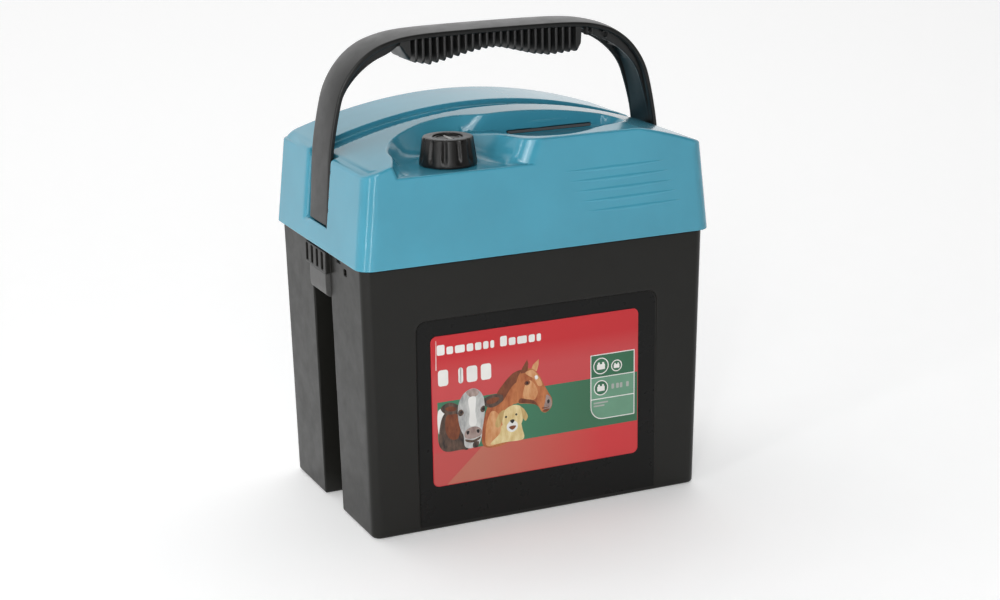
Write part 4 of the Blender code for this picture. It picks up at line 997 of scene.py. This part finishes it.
def make_knob():
    """Fluted knob with a rounded rim round its recessed top."""
    base, top = KNOB_LOW.z, KNOB_HIGH.z
    r_high = KNOB_R - 0.002
    rows = [(0.0087, base + 0.0042, 0), (0.0087, base + 0.0003, 0), (0.009, base, 0),
            (KNOB_R - 0.0006, base, 0), (KNOB_R - 0.0002, base + 0.0002, 0),
            (KNOB_R, base + 0.0006, 0), (KNOB_R - 0.00006, base + 0.0014, 0)]
    steps = 12
    for k in range(steps + 1):
        t = k / steps
        depth = 0.0013 * min(1.0, t * 4) * (1.0 if t < 0.96 else 0.8)
        rows.append((KNOB_R - 0.0001 + (r_high - KNOB_R) * t,
                     base + 0.002 + (top - base - 0.0032) * t, depth))
    rows += [(r_high - 0.0002, top - 0.0007, 0.0008), (r_high - 0.0006, top - 0.0002, 0.0004),
             (r_high - 0.0012, top, 0), (0.0096, top, 0), (0.0093, top - 0.0002, 0),
             (0.0092, top - 0.0014, 0), (0.0089, top - 0.0016, 0)]
    knob = skin("rotary_knob", [knob_ring(*row, 288) for row in rows])
    finish_piece(knob, "knob", "knob_black", "knob")


def make_knob_cap():
    """Disc in the knob's top with a raised ring and a plain pointer bar."""
    z = KNOB_HIGH.z - 0.0013
    rows = [(0.0087, 0), (0.0088, 0.0003), (0.0085, 0.0006), (0.0074, 0.0006), (0.007, 0.0001),
            (0.004, 0.00015)]
    cap = skin("knob_top_disc", [knob_ring(r, z + rise, 0, 96) for r, rise in rows])
    # the disc takes the darker black: painted shade in the knob's recessed top
    finish_piece(cap, "knob", "knob_black", "knob_cap", mat=MAT["panel_black"])
    bar = ((-0.0011, -0.0055), (0.0011, -0.0055), (0.0004, 0.0058), (-0.0004, 0.0058))
    pointer = skin("knob_pointer", [[(KNOB_X + x, KNOB_Y + y, z + rise) for x, y in bar]
                                    for rise in (0, 0.00065)])
    finish_piece(bevel(pointer, 0.00015, 2), "knob", "knob_black", mat=MAT["knob_mark"])


def make_latches():
    """Press tongues: a hooked foot in the channel, its outline given as (x, z)."""
    face, foot_r = 0.119, 0.0042
    outline = [(0.1098, 0.17), (0.1098, 0.146), (0.1112, 0.1431)]
    outline += arc(face - foot_r, 0.1425 + foot_r, foot_r, -100, 80, 6)
    outline += [(face, 0.15), (face, 0.1574), (face - 0.0006, 0.158), (0.115, 0.158),
                (0.1125, 0.156), (0.1125, 0.17)]
    for side, name in ((-1, "latch_left"), (1, "latch_right")):
        tongue = plate(f"{name}_tongue", [(side * x, z) for x, z in outline], -TONGUE_HALF, TONGUE_HALF)
        finish_piece(bevel(tongue, 0.0006, 3), name, "latch_grey", name)


# -------- label
# Its art is in label millimetres from the lower left corner, in rows of (name, ink, outline).
def label_prism(name, outline, y_low, y_high, sharp_angle=38):
    return skin(name, [[(LABEL_LOW.x + u / 1000, y, LABEL_LOW.z + v / 1000) for u, v in outline]
                       for y in (y_low, y_high)], sharp_angle)


def make_label():
    width, height = [(LABEL_HIGH[axis] - LABEL_LOW[axis]) * 1000 for axis in (0, 2)]
    front = LABEL_LOW.y + FILM_SETBACK
    sheet = label_prism("label_film", rounded_outline(0, 0, width, height, 4, 8), LABEL_HIGH.y,
                        front)
    finish_piece(bevel(sheet, 0.00012, 2), "case", "label_print", "label")
    inks = {name: make(f"ink_{name}", *values) for name, (make, *values) in INKS.items()}
    art = backdrop_art(width, height) + info_box(width) + greeked() + list(map(drawn, ANIMALS))
    for layer, (name, ink, outline) in enumerate(art):
        y = front - LAYER * (layer + 1)
        piece = label_prism(f"print_{name}", outline, y, y + INK_THICK, None)
        finish_piece(piece, "case", "label_print", mat=inks[ink])


def box(name, ink, u0, v0, u1, v1, radii=0, steps=6):
    return name, ink, rounded_outline(u0, v0, u1, v1, radii, steps)


def circle(u, v, r, steps):
    return arc(u, v, r, 0, 360, steps)[:-1]


def drawn(row):
    """Name, ink and outline from a row of ANIMALS."""
    name, ink, *words = row.split()
    kind = words.pop(0) if words[0] in "|@" else ""
    points = [tuple(map(float, word.split(","))) for word in words]
    if kind == "@":
        return name, ink, circle(*points[0], 12)
    return name, ink, points if kind else blob(points)


def backdrop_art(width, height):
    """Coloured fields of the print; the big red field has a painted gloss reflection in its lower part.
    """
    rim = 0.45
    right = width - rim
    return [
        # red print, lighter rose lower down: painted gloss reflection
        box("field", "tint", rim, rim, right, height - rim, 3.6, 8),
        box("foot", "foot", rim, rim, right, 22.2, (3.6, 3.6, 0, 0), 8),
        ("facet", "facet", [(9.0, rim), (width - 4.5, rim), (right, 4.5), (right, 22.2),
                            (33.5, 22.2)]),
        box("band", "green", 3.6, 22.0, right, 55.2, (9, 0, 0, 0), 8),
        ("edge_line", "white", [(3.0, 76.0), (3.45, 76.0), (3.7, 95.0), (3.4, 95.0)]),
    ]


def info_box(width):
    """Outlined table with round pictograms, as on the front of such a unit."""
    left, right = width - 34.2, width - 2.5
    art = [
        box("box_line", "white", left, 26.8, right, 70.5, (9, 0.4, 0.4, 0.4), 8),
        box("box_top", "dark_green", left + 0.6, 55.5, right - 0.6, 69.9, (0, 0, 0.2, 0.2), 2),
        box("box_mid", "pale_green", left + 0.6, 41.0, right - 0.6, 54.9),
        box("box_low", "pale_green", left + 0.6, 27.4, right - 0.6, 40.4, (8.4, 0.2, 0, 0), 8),
        *pictogram("unit", left + 7.5, 62.6, 5.5),
        *pictogram("cell", left + 18.7, 61.4, 3.9),
        *pictogram("pulse", left + 7.5, 48.0, 5.1),
    ]
    for k, u in enumerate((0.0, 3.4, 6.0, 10.6)):
        art.append(box(f"value_{k}", "grey", left + 15.0 + u, 46.2, left + 16.9 + u, 49.6, 0.5, 3))
    for k in range(2):
        art.append(box(f"note_{k}", "grey", left + 2.2, 37.6 - 2.0 * k, left + 12.5 - 2.5 * k,
                       38.6 - 2.0 * k, 0.3, 2))
    return art


def pictogram(name, u, v, r):
    """Round sign: a ring with a plain battery block in it."""
    art = [(f"{name}_ring", "white", circle(u, v, r, 30)),
           (f"{name}_disc", "dark_green", circle(u, v, r - 0.65, 30)),
           box(f"{name}_block", "white", u - r * 0.52, v - r * 0.42, u + r * 0.52, v + r * 0.22,
               0.4, 3)]
    for side in (-1, 1):
        middle = u + side * r * 0.28
        art.append(box(f"{name}_pole_{side + 1}", "white", middle - r * 0.13, v + r * 0.16,
                       middle + r * 0.13, v + r * 0.45, 0.2, 2))
    return art


def greeked():
    """Plain blocks where such a label has its words."""
    art = []
    headline = [5.2, 4.4, 6.6, 4.4, 4.2, 3.6, 2.6, 0, 4.6, 4.6, 6.6, 4.2, 3.0]
    u = 4.0
    for k, wide in enumerate(headline):
        if wide:
            tall = 6.6 if k in (0, 8) else 4.9
            art.append(box(f"headline_{k}", "white", u, 85.4, u + wide, 85.4 + tall, 1.1, 4))
        u += (wide or 1.6) + 1.25
    for k, (start, end) in enumerate(((4.4, 11.2), (18.0, 21.2), (23.6, 30.8), (33.2, 40.2))):
        art.append(box(f"row_{k}", "white", start, 65.4, end, 75.8, 1.8, 4))
    return art


ANIMALS = [   # name, ink and outline: smooth points, | straight ones, or @ a circle (u,v,radius)
    "horse_neck coat 34,22.2 52,22.2 55,36 54,45.5 59,47.5 64,56 62,64 57,66 50,61.5 44,55 36,44",
    "horse_mane coat_dark 43.5,54 48,60.5 55,66.8 61.5,68 60.5,63 54,58 47,49",
    "horse_chest coat_light 36,22.4 44,22.4 47,30 45,41 40,44 36.5,36",
    "horse_ear_far coat_light | 67.2,66.5 69,70.5 73,73.6 72.9,70.2 71.6,66",
    "horse_head coat 58.5,64 63,68.5 69,67.5 73.4,62.5 76.3,56.5 79.6,50.4 81.9,46 81.6,41 78.3,37.8 "
     "75,38.4 72.5,42.3 69,44.4 63.5,45.6 58.5,46.8 56,53",
    "horse_cheek coat_light 62,50 66,48 70,47.5 72,52 70,57.5 66.5,60.5 63,57",
    "horse_brow coat_light 63.5,66 68.5,67 72.6,62.4 75.4,56.5 72.5,56 69.5,61 66,63.5",
    "horse_jaw coat_dark 58.8,46.9 63.5,45.8 69,44.6 72.3,42.6 69.5,46.6 64,48.4 60,49.5",
    "horse_ear coat_dark | 60.2,65.8 61.4,69.2 64.9,74.4 65.7,71.5 65.2,67.6 63.6,66",
    "horse_star white 70,62.6 71.6,63 72.4,61.2 70.8,60.4",
    "horse_nose muzzle 78.2,49.2 80.6,47.6 81.7,44.5 81.3,41 78.2,38.4 76.2,40.5 77.2,45",
    "horse_nostril black 78.6,45.3 80,45.9 80.3,44.1 79,43.2",
    "horse_mouth coat_dark | 74.9,41.2 78.4,41 80.7,41.6 78.4,40.4 75.1,40.4",
    "horse_lip coat_dark 75.2,38.6 78,38 80.2,39.6 77.4,39.9",
    "horse_socket coat_dark 62.8,59.2 64.6,60.6 66.8,59.6 66,57.8 63.8,57.6",
    "horse_eye black @ 64.9,59,0.85",
    "dog_chest gold 39,22.3 45.5,28.5 47.5,34 58.5,35 61.2,29 61.6,22.3 50,22.2",
    "dog_head gold 48,41.5 51.2,44.8 56,45.9 60.2,44.2 61.8,40 61.2,34.5 58.2,29 54.2,27.2 50,29 "
     "47.4,34.6",
    "dog_ear_left gold_dark 48.8,43.6 45.4,42 43,37.4 42.6,33.8 45,32.8 47.2,36.6 48.2,40",
    "dog_ear_right gold_dark 60,44 62.8,41.6 65,37 63.4,34.2 61.6,36.4 60.9,40",
    "dog_muzzle white 50.6,33.4 54,36 57.6,33.8 57.4,30 54,28.2 50.8,30",
    "dog_nose black 52.6,35.8 54.2,36.6 55.8,35.8 54.3,33.9",
    "dog_mouth coat_dark 51.8,31.6 54.2,32.4 56.8,31.8 54.4,29.6",
    "dog_eye_0 black @ 49.9,38.8,0.75",
    "dog_eye_1 black @ 57,39.4,0.75",
    "cow_flank white 3.9,49.5 9,49.5 12,42 7,33 3.8,36",
    "cow_body hide_dark 6.5,45 4,32 5,25.5 9.5,22.2 19,22.2 24,22.4 24,36 19,46 12,49",
    "cow_neck coat_dark 10,46 8.5,38 11,31 17,30 19,40 16.5,46",
    "cow_ear_left hide_dark 17.6,51.2 14,53.6 10.4,54.1 6.6,52.4 5.8,50.4 8.2,47.4 12.5,46.2 17.2,47",
    "cow_ear_left_in coat_dark 15.8,50.2 12,51.6 8.6,50.6 11.5,48.4 15.4,48.4",
    "cow_ear_right hide_dark 34.6,52.6 38.4,54.4 43.5,54.8 47.8,53.4 47.6,50 44,47.4 39.6,46.6 "
     "35.6,48.4",
    "cow_ear_right_in coat_dark 37,51.6 42,53 45.6,51.8 42.4,49.4 37.6,49.2",
    "cow_head hide 19.8,56.6 23.6,60 28.2,61 32,58.8 34.6,54.6 35.4,48 35,41 33.6,33.5 33,28.5 "
     "31.2,23.8 28,22.2 24.4,22.2 21.4,24.2 20.8,31 19,35 17.4,42 17.4,50.5",
    "cow_poll muzzle 23,59.4 28,60.8 31.8,58.4 29.8,55.8 25.4,56",
    "cow_blaze white 24.4,54.6 29.4,55 29,46 29.8,38 26.8,36.2 24.6,38.5 25.2,46",
    "cow_brow_left hide_dark 17.6,47.6 19.8,48.4 21.2,46 19.4,44.2 17.5,45",
    "cow_brow_right hide_dark 33.2,48 35.2,48.6 35.6,45.6 33.8,44.4 32.4,46",
    "cow_nose muzzle 21.6,32.6 24.4,35.4 29.6,35.8 33,33 32.4,29.6 27.2,28.2 22.2,29.2",
    "cow_mouth hide_dark 22,28.4 27.2,27.2 32.2,28.8 31.2,26.8 27,25.6 22.8,26.6",
    "cow_tuft hide_dark 27.4,25.4 31,25.8 30.4,22.3 27.2,22.2",
    "cow_eye_0 black @ 19.6,46.6,0.95",
    "cow_nostril_0 black 24.6,33.6 22.8,33.4 23.2,31.4 24.4,31.8",
    "cow_eye_2 black @ 34.4,46.6,0.95",
    "cow_nostril_2 black 29.8,33.6 31.6,33.4 31.2,31.4 30,31.8",
]


# -------- CAD nodes that stay
def dress_nodes():
    """Procedural materials on the CAD nodes, by the slots in the record."""
    slots = {s["node"]: s["material_slot"] for s in frame["record"]["subparts"]}
    for name, obj in frame["nodes"].items():
        obj.data.materials.clear()
        obj.data.materials.append(MAT[slots[name]])


# -------- stage, light and camera
CAMERA_TARGET = Vector((0.00647, 0.0, 0.12099))
CAMERA_AZIMUTH = 0.42435
CAMERA_HEIGHT_ANGLE = 0.27819
CAMERA_ROLL = 0.01379
CAMERA_DISTANCE = 1.34118
FOCAL_LENGTHS_PER_WIDTH = 2.04212
FLOOR_HALF = 6.0
FLOOR_Z = -0.0004
LIGHTS = [                # name, place, point that it faces, size, watts
    ("key", (-0.8, -1.6, 0.8), (0, 0, 0.12), (0.9, 0.9), 11.5),
    ("top", (0.1, 0.7, 2.0), (0, 0, 0.1), (2.0, 1.6), 7),
    ("backdrop", (0.6, 3.4, 3.0), (0.6, 3.4, 0.0), (7.0, 5.0), 70),
    ("strip_left", (-0.845, -0.5, 0.52), (-0.1, -0.07, 0.52), (0.06, 1.0), 1.7),
    ("strip_front", (-0.45, -0.856, 0.52), (-0.1, -0.07, 0.52), (0.05, 1.0), 1.6),
]


def make_camera():
    level = cos(CAMERA_HEIGHT_ANGLE)
    back = Vector((-sin(CAMERA_AZIMUTH) * level, -cos(CAMERA_AZIMUTH) * level,
                   sin(CAMERA_HEIGHT_ANGLE)))
    right = Vector((cos(CAMERA_AZIMUTH), -sin(CAMERA_AZIMUTH), 0.0))
    turn = Matrix((right, back.cross(right), back)).transposed().to_4x4()
    data = bpy.data.cameras.new("camera")
    data.sensor_width = 36.0
    data.lens = FOCAL_LENGTHS_PER_WIDTH * data.sensor_width
    data.clip_start = 0.05
    camera = add_object("camera", data)
    camera.matrix_world = (Matrix.Translation(CAMERA_TARGET + back * CAMERA_DISTANCE) @ turn
                           @ Matrix.Rotation(-CAMERA_ROLL, 4, "Z"))
    bpy.context.scene.camera = camera


def soft_box(name, place, aim, size, power):
    data = bpy.data.lights.new(name, "AREA")
    data.shape = "RECTANGLE"
    data.size, data.size_y = size
    data.energy = power
    light = add_object(name, data)
    light.location = place
    light.rotation_euler = (Vector(aim) - Vector(place)).to_track_quat("-Z", "Y").to_euler()
    light.visible_camera = False


def make_world():
    """Bright studio walls behind and to the left, dim ones in front."""
    world = bpy.data.worlds.new("studio")
    bpy.context.scene.world = world
    world.use_nodes = True
    n = Nodes(world.node_tree)
    way = n.add("SeparateXYZ", Vector=n.add("TexCoord").outputs["Generated"]).outputs
    back = n.ramp(way["Y"], -0.55, 0.15, 0.06, 1.0)
    left = n.ramp(way["X"], -0.45, -0.95, 0.0, 0.6)
    above = n.ramp(way["Z"], 0.35, 0.85, 1.0, 0.35)
    strength = n.maths("MULTIPLY", n.maths("MAXIMUM", back, left), above)
    n.feed(n.tree.nodes["Background"], Color=(1.0, 1.0, 1.0), Strength=strength)


def make_stage():
    mesh = bpy.data.meshes.new("floor")
    mesh.from_pydata([(x * FLOOR_HALF, y * FLOOR_HALF, FLOOR_Z)
                      for x, y in ((-1, -1), (1, -1), (1, 1), (-1, 1))], [], [(0, 1, 2, 3)])
    floor = add_object("floor", mesh)
    m = Recipe("pale_floor", (0.9, 0.9, 0.9), 0.75, Emission_Color=(1.0, 1.0, 1.0),
               Emission_Strength=0.26)
    m.shade(Base_Color=m.mix(m.ramp(m.noise(40.0), 0.3, 0.7), (0.9, 0.9, 0.9),
                             (0.88, 0.88, 0.88)))
    floor.data.materials.append(m.mat)
    for light in LIGHTS:
        soft_box(*light)
    make_world()
    bpy.context.scene.view_settings.view_transform = "Standard"


make_camera()
make_stage()
dress_nodes()
make_case()
make_lid()
make_front_ribs()
make_handle()
make_knob()
make_knob_cap()
make_latches()
make_label()

bpy.context.view_layer.update()
